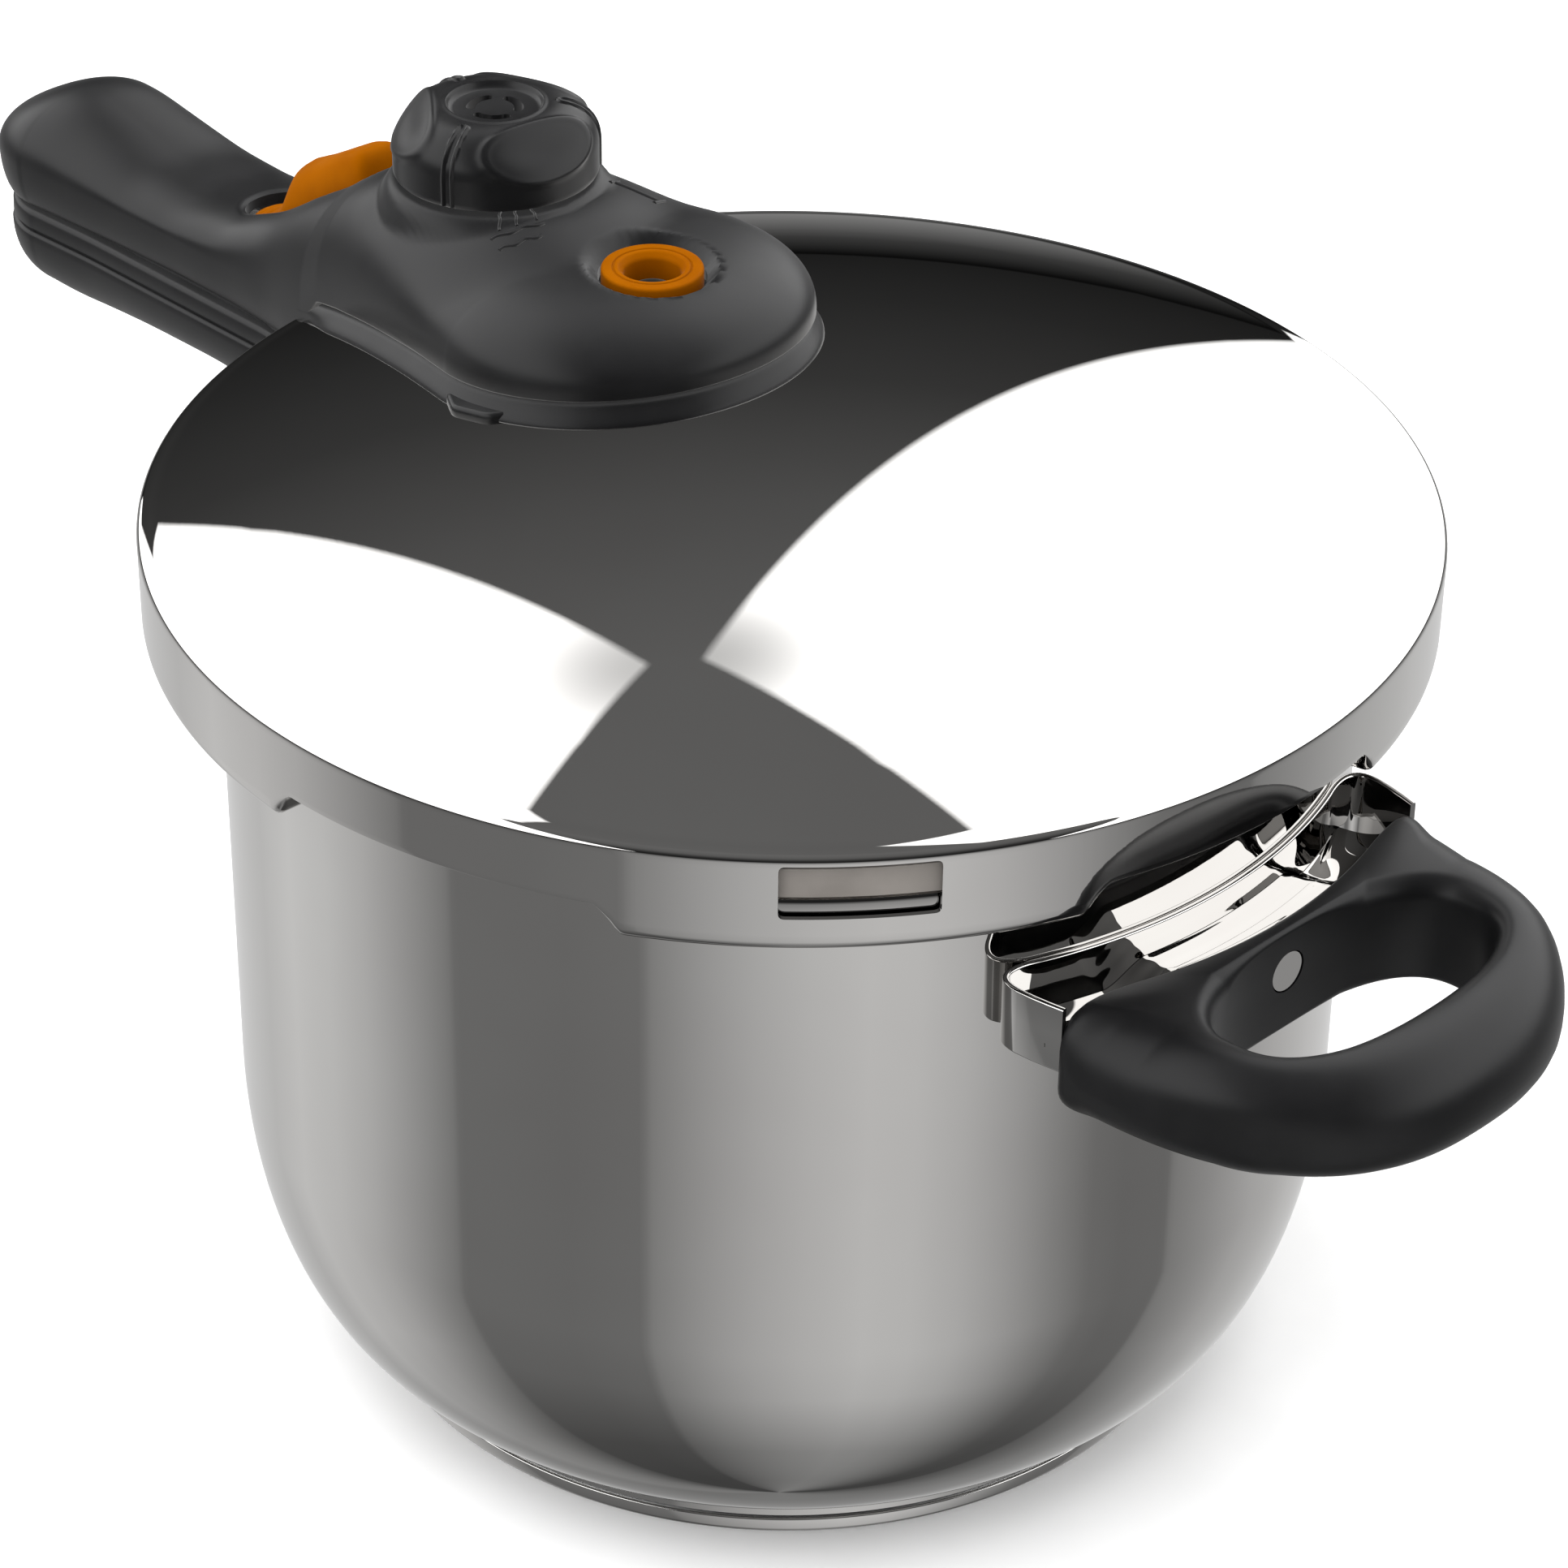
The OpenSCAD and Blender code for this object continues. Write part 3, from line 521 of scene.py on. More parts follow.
def coverSurface():
    # super-ellipse from the middle line out to the widest line, then a quarter turn in to the lower edge
    cx, foot, reach, ux, uy = handleOutline()
    seamZ = smoothLine(cx, cover["seam"], 2.0)
    x0, x1 = cover["notchX"]
    lowZ = smoothLine(cx, [(-270, cover["gripLowZ"]), (x0, cover["gripLowZ"] + 0.8), (x1, cover["headLowZ"]),
                           (40, cover["headLowZ"])], 0.7)
    onHead = smoothStep(x1 - 1.2, x1 + 1.2, cx)
    lowZ = np.maximum(lowZ * (1 - onHead) + (seamZ + 0.05) * onHead, cover["gripLowZ"])
    midZ = np.maximum(cover["gripMidZ"], lowZ + 0.5)
    power = 2.05 + 0.55 * smoothStep(-230, -120, cx)
    topZ = smoothLine(foot, cover["top"], 3.0)
    inset = cover["gripInset"] * (1 - smoothStep(-135, -118, cx)) + 0.012
    psi = np.linspace(0, np.pi / 2, cover["upRows"])[:, None]
    rho = np.sin(psi) ** (2 / power)
    rise = np.maximum(np.cos(psi), 0) ** (2 / power)
    out = rho * reach
    z = midZ + (topZ - midZ) * rise
    phi = np.linspace(0, np.radians(80), cover["lowRows"])[1:, None]
    lowOut = reach * (1 - inset * (1 - np.cos(phi)))
    lowRowZ = midZ - (midZ - lowZ) * np.sin(phi) / np.sin(np.radians(80))
    x, y = foot + ux * out, uy * out
    z = shapeTop(x, y, midZ + (z - midZ) * endFall(x))
    rows = [np.stack([x, y, z], -1), np.stack([foot + ux * lowOut, uy * lowOut, lowRowZ], -1)]
    # inner face: the same rule, one wall further in, with fewer rows
    wall = cover["wall"]
    edge = lowOut[-1:] - wall
    rows.append(np.stack([foot + ux * edge, uy * edge, lowRowZ[-1:] + 0 * edge], -1))
    psi = np.linspace(np.pi / 2, 0, 14)[:, None]
    out = np.sin(psi) ** (2 / power) * (reach - wall)
    x, y = foot + ux * out, uy * out
    inMid = midZ + wall + 0.3
    z = inMid + (topZ - inMid) * np.maximum(np.cos(psi), 0) ** (2 / power) * endFall(x)
    z = shapeTop(x, y, z) - wall
    rows.append(np.stack([x, y, z], -1))
    points = np.concatenate(rows)
    return points, gridFaces(points.shape[0], points.shape[1], False, True)


features = {
    "ring": (-39.0, 10.6, 13.4, 3.0), "collar": (-84.0, 19.6, 21.4, 23.8, 222.6),
    "slot": (-160.0, -116.0, 8.0), "mound": 2.4,
}


def shapeTop(x, y, z):
    # the funnel round the indicator, the collar under the knob and the soft rim of the slider's slot
    ringX, inner, outer, depth = features["ring"]
    r = np.hypot(x - ringX, y)
    z = z - depth * (1 - smoothStep(inner - 0.6, outer, r))
    collarX, flat, edge, root, level = features["collar"]
    r = np.hypot(x - collarX, y)
    z = z + features["mound"] * (1 - smoothStep(root - 3, root + 15, r)) * (z > 195)
    lift = 1 - smoothStep(edge, root, r)
    brim = level - 1.0 * smoothStep(flat, edge + 0.6, r) ** 2
    z = z + np.maximum(brim - z, 0) * lift
    x0, x1, half = features["slot"]
    along = np.clip(x, x0 + half, x1)
    away = np.hypot(x - along, y) - half
    return z - 0.7 * (1 - smoothStep(-0.3, 1.6, away)) * (z > 180)


def slotOutline(grow=0.0):
    # a slot with a round rear end and a straight front end
    x0, x1, half = features["slot"]
    half = half + grow
    turn = np.radians(np.linspace(90, 270, 32))
    rear = np.c_[x0 + features["slot"][2] + half * np.cos(turn), half * np.sin(turn)]
    return np.concatenate([[[x1, half]], rear, [[x1, -half]]])


handleCover = makePiece("handleCover", [coverSurface()], 40)
handleCover = cutAway(handleCover, [
    makePiece("ringCutter", [prism(circle(-39, 0, 10.6, 96), 190, 240)]),
    makePiece("knobCutter", [prism(circle(-84, 0, 14, 96), 190, 240)]),
    makePiece("slotCutter", [prism(slotOutline(), 186, 240)]),
    makePiece("pocketCutter", [prism(rectangle(-169, -155, 7.6), 184, 188.4)])], 34)   # for the slider's tongue


def drape(line, lift):
    # points of a plan line dropped on to the cover
    draped = []
    for x, y in line:
        hit, place = handleCover.ray_cast((x * mm, y * mm, 0.26), (0, 0, -1))[:2]
        draped.append((x, y, (place.z / mm if hit else 216.0) + lift))
    return np.array(draped)


def markTube(line, radius):
    # a low rounded bead along a line that lies on the cover
    line = np.asarray(line, float)
    step = np.gradient(line, axis=0)
    step[:, 2] = 0
    step /= np.linalg.norm(step, axis=1, keepdims=True)
    side = np.c_[-step[:, 1], step[:, 0], np.zeros(len(line))]
    around = np.linspace(0, 2 * np.pi, 8, endpoint=False)
    up = np.array([0, 0, 1.0])
    points = line[:, None] + radius * (np.cos(around)[None, :, None] * side[:, None]
                                       + np.sin(around)[None, :, None] * up * 0.7)
    rows, cols = points.shape[:2]
    faces = gridFaces(rows, cols, False, True)
    faces += [list(range(cols))[::-1], [(rows - 1) * cols + i for i in range(cols)]]
    return points, faces


# start, end, wave height and radius of each raised stroke: two waves under three wisps, a line with end bars
strokes = [
    ((-66.0, -17.4), (-62.2, -7.0), 0.34, 0.42), ((-62.5, -18.4), (-59.5, -10.1), 0.34, 0.42),
    ((-66.6, -14.7), (-71.2, -10.4), 0.1, 0.3), ((-65.3, -11.3), (-70.0, -7.8), 0.1, 0.3),
    ((-64.0, -7.3), (-68.7, -5.1), 0.1, 0.3), ((-67.9, 16.8), (-58.6, 20.1), 0.0, 0.5),
    ((-67.6, 15.5), (-68.4, 18.5), 0.0, 0.5), ((-58.0, 18.4), (-58.8, 21.8), 0.0, 0.5),
]


def marksOnCover():
    # a steam sign and a plain line, no lettering; each stroke is straight plus two periods of a sine
    t = np.linspace(0, 1, 28)[:, None]
    parts = []
    for start, end, wave, radius in strokes:
        start, end = np.array(start), np.array(end)
        along = (end - start) / np.linalg.norm(end - start)
        side = np.array([-along[1], along[0]])
        line = start + (end - start) * t + side * wave * np.sin(t * 4 * np.pi)
        parts.append(markTube(drape(line, 0.1), radius))
    return parts


coverMarks = makePiece("coverMarks", marksOnCover(), 60)
settle(handleCover, "lid", "black_phenolic", blackPhenolic, "handle_cover")
settle(coverMarks, "lid", "black_phenolic", blackPhenolic, "handle_cover")


def baseSurface():
    # lower half of the head: its top runs level with the dome, its side bulges, its underside sits on the dome
    cx, foot, reach, ux, uy = handleOutline(-121.2, 0.8)
    rows = []
    edge = lambda x, y: np.where(np.hypot(x, y) > 123, 184 - (np.hypot(x, y) - 123) * 0.2, domeZ(x, y))

    def row(inset, above):
        # the lower lip fades out towards the grip
        out = reach - (inset if inset > 0 else inset * smoothStep(-119, -104, cx))
        x, y = foot + ux * out, uy * out
        rows.append(np.stack([x, y, edge(x, y) + above], -1))

    for share in (0, 0.3, 0.6, 0.85):
        out = reach * share
        x, y = foot + ux * out, uy * out
        rows.append(np.stack([x, y, edge(x, y) + 4.2], -1))
    for inset, above in ((2.6, 4.2), (1.5, 4.15), (1.0, 3.95), (0.6, 3.6), (0.1, 3.1), (-0.4, 2.6), (-0.9, 2.1),
                         (-1.3, 1.6), (-1.6, 1.15), (-1.65, 0.75), (-1.4, 0.4), (-0.8, 0.15), (0.4, 0.05),
                         (4.4, 0.04)):
        row(inset, above)
    for share in (0.85, 0.7, 0.5, 0.3, 0.1, 0):
        out = np.minimum(reach * share, reach - 4.4)
        x, y = foot + ux * out, uy * out
        rows.append(np.stack([x, y, edge(x, y) + 0.04], -1))
    points = np.array(rows)
    count, cols = points.shape[:2]
    return points, gridFaces(count, cols) + closeEnds(count, cols)


handleBase = makePiece("handleBase", [baseSurface()], 40)
baseHoles = [(-84, 0, 12.2), (-39, 0, 11.2), (-62, -19, 10)]
baseCutters = [makePiece("baseCutter", [prism(circle(*h, 64), 180, 225)]) for h in baseHoles]
handleBase = cutAway(handleBase, baseCutters, 40)
settle(handleBase, "lid", "black_phenolic", blackPhenolic, "handle_base")

# outlet of the relief valve: a low rounded tab that shows under the base, centre and corners of its plan
vent = {
    "centre": (-47.5, -33.5), "height": 2.4, "round": 1.6,
    "plan": [(-57.5, -33), (-55.6, -39.0), (-50.4, -42.2), (-41.6, -40.9), (-38.8, -37.9), (-37.5, -33.5),
             (-41, -27), (-54, -27)],
}


def ventSurface():
    # rings of the rounded plan, drawn in towards the middle, at levels above the dome
    outline = roundCorners(vent["plan"], vent["round"], 7)
    rows = []
    for share, level in ((0, 0.02), (0.97, 0.02), (1, 0.3), (1, 0.62), (0.985, 0.85), (0.95, 0.97), (0.9, 1),
                         (0, 1)):
        plan = np.array(vent["centre"]) + (outline - vent["centre"]) * share
        rows.append(np.c_[plan, domeZ(plan[:, 0], plan[:, 1]) + vent["height"] * level])
    points = np.array(rows)
    return points, gridFaces(points.shape[0], points.shape[1], False, True)


ventOutlet = makePiece("ventOutlet", [ventSurface()], 45)
settle(ventOutlet, "lid", "black_nylon", blackNylon, "vent_outlet")

# pot handle
potGrip = {
    "topZ": 172.4, "grooveZ": 168.3, "grooveDeep": 0.9, "endX": -218.5, "endR": 18.0, "nearX": -109.0,
    "hugR": 112.4,
    "halfWidth": [(-270, 18), (-218.5, 18), (-200, 17.1), (-140, 17), (-128, 18.4), (-118, 21.4), (-108, 22),
                  (0, 22)],
    "bottom": [(-270, 151), (-218.5, 151), (-210, 150.3), (-185, 152), (-160, 152.4), (-135, 150),
               (-120, 145.2), (-108, 142), (0, 130)],
}


def potGripSurface():
    # flat top with a rounded edge, a narrow groove, then a full belly down to the bottom line
    x = np.linspace(potGrip["nearX"], potGrip["endX"], 150)[:-1]
    end = np.radians(np.linspace(90, 180, 36))
    w = smoothLine(x, potGrip["halfWidth"], 3)
    foot, reach, ux, uy = wholeOutline(
        np.concatenate([x, potGrip["endX"] + potGrip["endR"] * np.cos(end)]),
        np.concatenate([w, potGrip["endR"] * np.sin(end)]),
        np.concatenate([x, np.full_like(end, potGrip["endX"])]))
    bottomZ = smoothLine(foot, potGrip["bottom"], 4)
    top, groove, deep = potGrip["topZ"], potGrip["grooveZ"], potGrip["grooveDeep"]
    rows = []

    def row(out, z):
        rows.append(np.stack([foot + ux * out, uy * out, z + 0 * out], -1))

    for share in (0, 0.5, 0.8):
        row(reach * share, top)
    for inset, z in ((1.6, top), (1.0, top - 0.12), (0.6, top - 0.45), (0.4, top - 1.0), (0.3, groove + 0.5),
                     (0.45, groove + 0.15), (deep, groove), (deep, groove - 0.7), (0.35, groove - 0.9),
                     (0.1, groove - 1.3)):
        row(reach - inset, z)
    for psi in np.linspace(0, np.pi / 2, 26):
        share, drop = np.cos(psi) ** (2 / 2.3), np.sin(psi) ** (2 / 2.3)
        row(reach * share, groove - 1.5 - (groove - 1.5 - bottomZ) * drop)
    points = np.array(rows)
    # the end by the pot follows the pot's wall
    hug = -np.sqrt(np.maximum(potGrip["hugR"] ** 2 - points[..., 1] ** 2, 1))
    points[..., 0] = np.minimum(points[..., 0], hug)
    count, cols = points.shape[:2]
    return points, gridFaces(count, cols) + closeEnds(count, cols)


potHandle = makePiece("potHandle", [potGripSurface()], 40)
# recesses for two screws, the lid's rim, the catch plate and the lock pin
potHandle = cutAway(potHandle, [
    makePiece("screwCutter", [prism(circle(-130, 0, 4.2, 40), 130, 150)]),
    makePiece("screwCutter", [prism(circle(-120, 0, 4.2, 40), 130, 150)]),
    makePiece("rimCutter", [prism(rectangle(-127.5, -100, 40), 162.6, 180)]),
    makePiece("plateCutter", [prism(rectangle(-144.1, -127.9, 7.1), 170.3, 180)]),
    makePiece("pinCutter", [prism(circle(-137, 0, 3.6, 40), 166, 180)])], 40)
settle(potHandle, "pot", "black_phenolic", blackPhenolic, "pot_handle")

# side handle
grip = {
    "holeX": 143.75, "holeRx": 15.25, "holeRy": 32.0, "holePower": 2.6, "lowZ": 125.0, "highZ": 147.5,
    "faceR": 120.2, "faceX": 4.8, "midX": 116.0, "reachX": 60.9, "halfW": 50.0, "power": 2.35,
    "screwZ": 138.0,
}


def sideGripSurface():
    # a rounded bar carried round the finger hole; its width follows the outer outline
    cols = 360
    turn = np.linspace(0, 2 * np.pi, cols, endpoint=False)

    around = np.where(turn > np.pi, turn - 2 * np.pi, turn)

    def superPoint(rx, ry, power, a):
        c, s = np.cos(a), np.sin(a)
        return rx * np.sign(c) * np.abs(c) ** (2 / power), ry * np.sign(s) * np.abs(s) ** (2 / power)

    def radiusAround(x, y):
        # distance from the hole's middle for each column
        polar = np.arctan2(y, x)
        order = np.argsort(polar)
        return np.interp(around, polar[order], np.hypot(y, x)[order], period=2 * np.pi)

    dense = np.linspace(-np.pi / 2, np.pi / 2, 900)
    ox, oy = superPoint(grip["reachX"], grip["halfW"], grip["power"], dense)
    ox = ox + grip["midX"]
    faceTurn = np.radians(np.linspace(23.2, -23.2, 500))
    fx, fy = grip["faceX"] + grip["faceR"] * np.cos(faceTurn), grip["faceR"] * np.sin(faceTurn)
    allX, allY = np.concatenate([ox, fx]), np.concatenate([oy, fy])
    outR = radiusAround(allX - grip["holeX"], allY)
    holeTurn = np.linspace(-np.pi, np.pi, 1441)[:-1]
    inR = radiusAround(*superPoint(grip["holeRx"], grip["holeRy"], grip["holePower"], holeTurn))
    bell = np.exp(-0.5 * (np.arange(-9, 10) / 2.2) ** 2)
    bell /= bell.sum()
    outR = np.convolve(np.concatenate([outR[-9:], outR, outR[:9]]), bell, "valid")
    width = outR - inR
    facing = smoothStep(np.radians(112), np.radians(126), np.abs(around))   # the side that faces the pot
    outTop = np.minimum(13.0 * (1 - facing) + 1.2 * facing, width * 0.68)
    outLow = np.minimum(9.0 * (1 - facing) + 1.6 * facing, width * 0.68)
    inTop, inLow = np.minimum(4.4, width * 0.27), np.minimum(2.5, width * 0.27)
    low, high = grip["lowZ"], grip["highZ"]
    rows = []

    def corner(rEdge, zEdge, size, a0, a1, outward, upward):
        for a in np.radians(np.linspace(a0, a1, 9)):
            rows.append((rEdge - outward * size * (1 - np.cos(a)), zEdge - upward * size * (1 - np.sin(a))))

    corner(outR, high, outTop, 0, 90, 1, 1)
    corner(inR, high, inTop, 90, 0, -1, 1)
    for f in (0.35, 0.65):
        rows.append((inR, (high - inTop) * (1 - f) + (low + inLow) * f))
    corner(inR, low, inLow, 0, 90, -1, -1)
    corner(outR, low, outLow, 90, 0, 1, -1)
    for f in (0.35, 0.65):
        rows.append((outR, (low + outLow) * (1 - f) + (high - outTop) * f))
    r, z = np.array([p[0] + 0 * outR for p in rows]), np.array([p[1] + 0 * outR for p in rows])
    x, y = grip["holeX"] + r * np.cos(turn), r * np.sin(turn)
    # the underside rises towards the pot
    lift = 4.0 * smoothStep(118, 106, x)
    z = z + lift * (z < 136)
    return np.stack([x, y, z], -1), gridFaces(len(rows), cols, True, True)


sideHandle = makePiece("sideHandle", [sideGripSurface()], 45)


def lyingPeg(r, count, near, far):
    # a round cutter along X at the height of the screw
    points, faces = prism(circle(0, 0, r, count), near, far)
    return np.c_[points[:, 2], points[:, 1], grip["screwZ"] - points[:, 0]], faces


sideHandle = cutAway(sideHandle, [
    makePiece("headCutter", [lyingPeg(4.3, 40, 126.8, 134)]),
    makePiece("shankCutter", [lyingPeg(2.1, 32, 120, 134)]),
    makePiece("nutCutter", [prism(rectangle(116, 124.5, 14), 130, 143)])], 40)
settle(sideHandle, "pot", "black_phenolic", blackPhenolic, "side_handle")

# bracket of the side handle
bracket = {
    "lowZ": 134.0, "highZ": 147.6, "sheet": 1.2, "wallTurn": 20.5,
    "corner": (98.6, 50.6), "bendEnd": (108.0, 50.2),
    "webTurn": 23.4, "webZ": 142.6, "cellDrop": 4.4, "cellHollow": 1.2, "webRise": 2.2, "beads": 3, "beadHigh": 0.1,
}


def strapSurface():
    # a strip on edge that follows the pot, turns a round corner and runs out into the handle
    t = bracket["sheet"]
    side = np.array([[117.5, 48.7], [114.5, 49.3], [111.2, 49.85]])
    along = np.radians(np.linspace(bracket["wallTurn"], -bracket["wallTurn"], 80))
    wall = np.c_[(pot["r"] + 0.02) * np.cos(along), (pot["r"] + 0.02) * np.sin(along)]
    f = np.linspace(0, 1, 26)[:-1, None]
    bendEnd, corner = np.array(bracket["bendEnd"]), np.array(bracket["corner"])
    bend = (1 - f) ** 2 * bendEnd + 2 * f * (1 - f) * corner + f ** 2 * wall[0]
    line = np.concatenate([side, bend, wall, bend[::-1] * [1, -1], side[::-1] * [1, -1]])
    step = np.gradient(line, axis=0)
    step /= np.linalg.norm(step, axis=1, keepdims=True)
    inward = np.c_[-step[:, 1], step[:, 0]]
    low, high = bracket["lowZ"], bracket["highZ"]
    middle = (low + high) / 2
    section = roundCorners([[0, low], [0, middle], [0, high], [t, high], [t, middle], [t, low]],
                           [0.4, 0.01, 0.4, 0.4, 0.01, 0.4], 4)
    plan = line[None] + inward[None] * section[:, 0][:, None, None]
    z = np.broadcast_to(section[:, 1][:, None, None], plan.shape[:2] + (1,))
    points = np.concatenate([plan, z], -1)
    rows, cols = points.shape[:2]
    faces = gridFaces(rows, cols, True, False)
    faces += [[i * cols for i in range(rows)], [i * cols + cols - 1 for i in range(rows)][::-1]]
    return points, faces


def webSurface():
    # a pressed bridge between pot and handle with three beads along it; both ends drop into a shallow cup
    turn = np.radians(np.linspace(-bracket["webTurn"], bracket["webTurn"], 161))
    across = np.linspace(0, 1, 40)[:, None]
    inner = pot["r"] + 1.3
    # where a ray from the pot's axis meets the handle's face
    outer = np.sqrt(grip["faceR"] ** 2 - (grip["faceX"] * np.sin(turn)) ** 2) + grip["faceX"] * np.cos(turn) - 0.1
    r = inner + (outer - inner) * across
    middle = 1 - smoothStep(np.radians(9.5), np.radians(14.5), np.abs(turn))
    beads = bracket["beadHigh"] * np.sin(across * np.pi * bracket["beads"]) ** 2 * middle
    cup = bracket["cellDrop"] + bracket["cellHollow"] * np.sin(across * np.pi)
    top = bracket["webZ"] + bracket["webRise"] * (across - 0.5) + beads - cup * (1 - middle)
    points = []
    for shift in (0.0, -0.9):
        points.append(np.stack([r * np.cos(turn), r * np.sin(turn), top + shift], -1))
    points = np.array(points)
    rows, cols = points.shape[1:3]
    size = rows * cols
    faces = gridFaces(rows, cols) + [f[::-1] for f in gridFaces(rows, cols, first=size)]
    rim = list(range(cols)) + [i * cols + cols - 1 for i in range(1, rows)] \
        + [(rows - 1) * cols + j for j in range(cols - 2, -1, -1)] + [i * cols for i in range(rows - 2, 0, -1)]
    faces += [[a, b, b + size, a + size] for a, b in zip(rim, rim[1:] + rim[:1])]
    return points, faces


sideBracket = makePiece("sideBracket", [strapSurface(), webSurface()], 40)
settle(sideBracket, "pot", "polished_steel", polishedSteel, "side_handle_bracket")

# knob
knob = {
    "x": -84.0, "r": 20.4, "lowZ": 224.0, "skirtZ": 229.8, "topZ": 238.2, "dishDeep": 1.2,
    "scoops": (-9, -129, 111), "ridges": (-69, 51, 171),
    "scoopHalf": (11.8, 6.2), "scoopDeep": 2.1, "scoopR": 18.2,
}


def knobSurface():
    # a domed disc; three oval scoops sink into its shoulder and three index ribs stand between them
    cols = 432
    turn = np.linspace(0, 2 * np.pi, cols, endpoint=False)
    psi = np.linspace(0, np.pi / 2, 54)
    rr = knob["r"]
    topR = 10.4 + (rr - 10.4) * np.sin(psi) ** (2 / 2.15)
    topZ = knob["skirtZ"] + (knob["topZ"] - knob["skirtZ"]) * np.cos(psi) ** (2 / 2.15)
    skirt = np.linspace(knob["skirtZ"], knob["lowZ"] + 0.5, 9)[1:]
    lineR, lineZ = np.concatenate([topR, np.full(8, rr)]), np.concatenate([topZ, skirt])
    length = np.concatenate([[0], np.cumsum(np.hypot(np.diff(lineR), np.diff(lineZ)))])
    dr, dz = np.gradient(lineR), np.gradient(lineZ)
    size = np.hypot(dr, dz)
    normalR, normalZ = np.abs(dz) / size, np.abs(dr) / size
    centreLine = np.interp(knob["scoopR"], lineR[:54], length[:54])
    push = np.zeros((len(lineR), cols))
    for a in knob["scoops"]:
        away = (turn - math.radians(a) + np.pi) % (2 * np.pi) - np.pi
        across = away[None] * knob["scoopR"] / knob["scoopHalf"][0]
        along = (length[:, None] - centreLine) / knob["scoopHalf"][1]
        q = np.hypot(across, along)
        push -= knob["scoopDeep"] * np.clip(1 - q ** 2, 0, 1) ** 1.2
        push += 0.3 * np.exp(-((q - 1.08) / 0.09) ** 2)
    for a in knob["ridges"]:
        away = ((turn - math.radians(a) + np.pi) % (2 * np.pi) - np.pi)[None] * lineR[:, None]
        away = np.hypot(away, np.maximum(0, 3.0 - length[:, None]))
        push += 0.5 * ((1 - smoothStep(1.05, 1.4, away)) - 0.9 * (1 - smoothStep(0.45, 0.8, away)))
    r = lineR[:, None] + push * normalR[:, None]
    z = lineZ[:, None] + push * normalZ[:, None]
    dish, rim = knob["topZ"] - knob["dishDeep"], knob["topZ"]
    low, under = knob["lowZ"], knob["lowZ"] + 6
    # the dish with its rim, then the underside with the stem and its bore
    top = np.array([(0, dish), (4, dish), (8.2, dish), (8.9, dish + 0.15), (9.3, dish + 0.6), (9.45, rim - 0.1),
                    (9.7, rim + 0.15), (10.1, rim + 0.12)])
    inside = np.array([(rr - 0.15, low + 0.2), (rr - 0.6, low), (rr - 2.2, low), (rr - 2.2, under), (8, under),
                       (8, 206), (5.2, 206), (5.2, 217.2), (6, 217.2), (6, 227.5), (0, 227.5)])
    ones = np.ones(cols)
    allR = np.concatenate([np.outer(top[:, 0], ones), r, np.outer(inside[:, 0], ones)])
    allZ = np.concatenate([np.outer(top[:, 1], ones), z, np.outer(inside[:, 1], ones)])
    points = np.stack([knob["x"] + allR * np.cos(turn), allR * np.sin(turn), allZ], -1)
    return points, gridFaces(len(allR), cols, False, True)


def steamSlots():
    # three curved slots round the middle of the knob
    parts = []
    for middle in (70, 190, 310):
        turn = np.radians(np.linspace(middle - 36, middle + 36, 20))
        mid, half = 4.7, 0.95
        caps = []
        for first, last, around in ((0, 180, turn[-1]), (180, 360, turn[0])):
            end = np.radians(np.linspace(first, last, 8)) + around
            caps.append(np.c_[mid * np.cos(around) + half * np.cos(end), mid * np.sin(around) + half * np.sin(end)])
        outer = np.c_[(mid + half) * np.cos(turn), (mid + half) * np.sin(turn)]
        inner = np.c_[(mid - half) * np.cos(turn[::-1]), (mid - half) * np.sin(turn[::-1])]
        outline = np.concatenate([outer[:-1], caps[0], inner[1:-1], caps[1][:-1]]) + [knob["x"], 0]
        parts.append(prism(outline, 233, 245))
    return parts


regulatorKnob = makePiece("regulatorKnob", [knobSurface()], 38)
regulatorKnob = cutAway(regulatorKnob, [makePiece("steamCutter", [p]) for p in steamSlots()], 38)
settle(regulatorKnob, "regulator", "black_nylon", blackNylon, "regulator_knob")

# lid lock slider
slider = {
    "halfW": 7.3, "lowZ": 184.6, "rearX": -159.2, "frontX": -117.2, "nose": 0.09,
    "top": [(-180, 188.6), (-160, 188.7), (-153, 191.0), (-149.5, 192.8), (-147, 198.2), (-144.4, 203),
            (-140.3, 206.8), (-132.2, 211.4), (-125, 215.2), (-121.5, 216.2), (-119.6, 215.0), (-118.2, 212.4),
            (-117, 208), (-100, 208)],
    "ribs": (-157.6, -152.0),
}


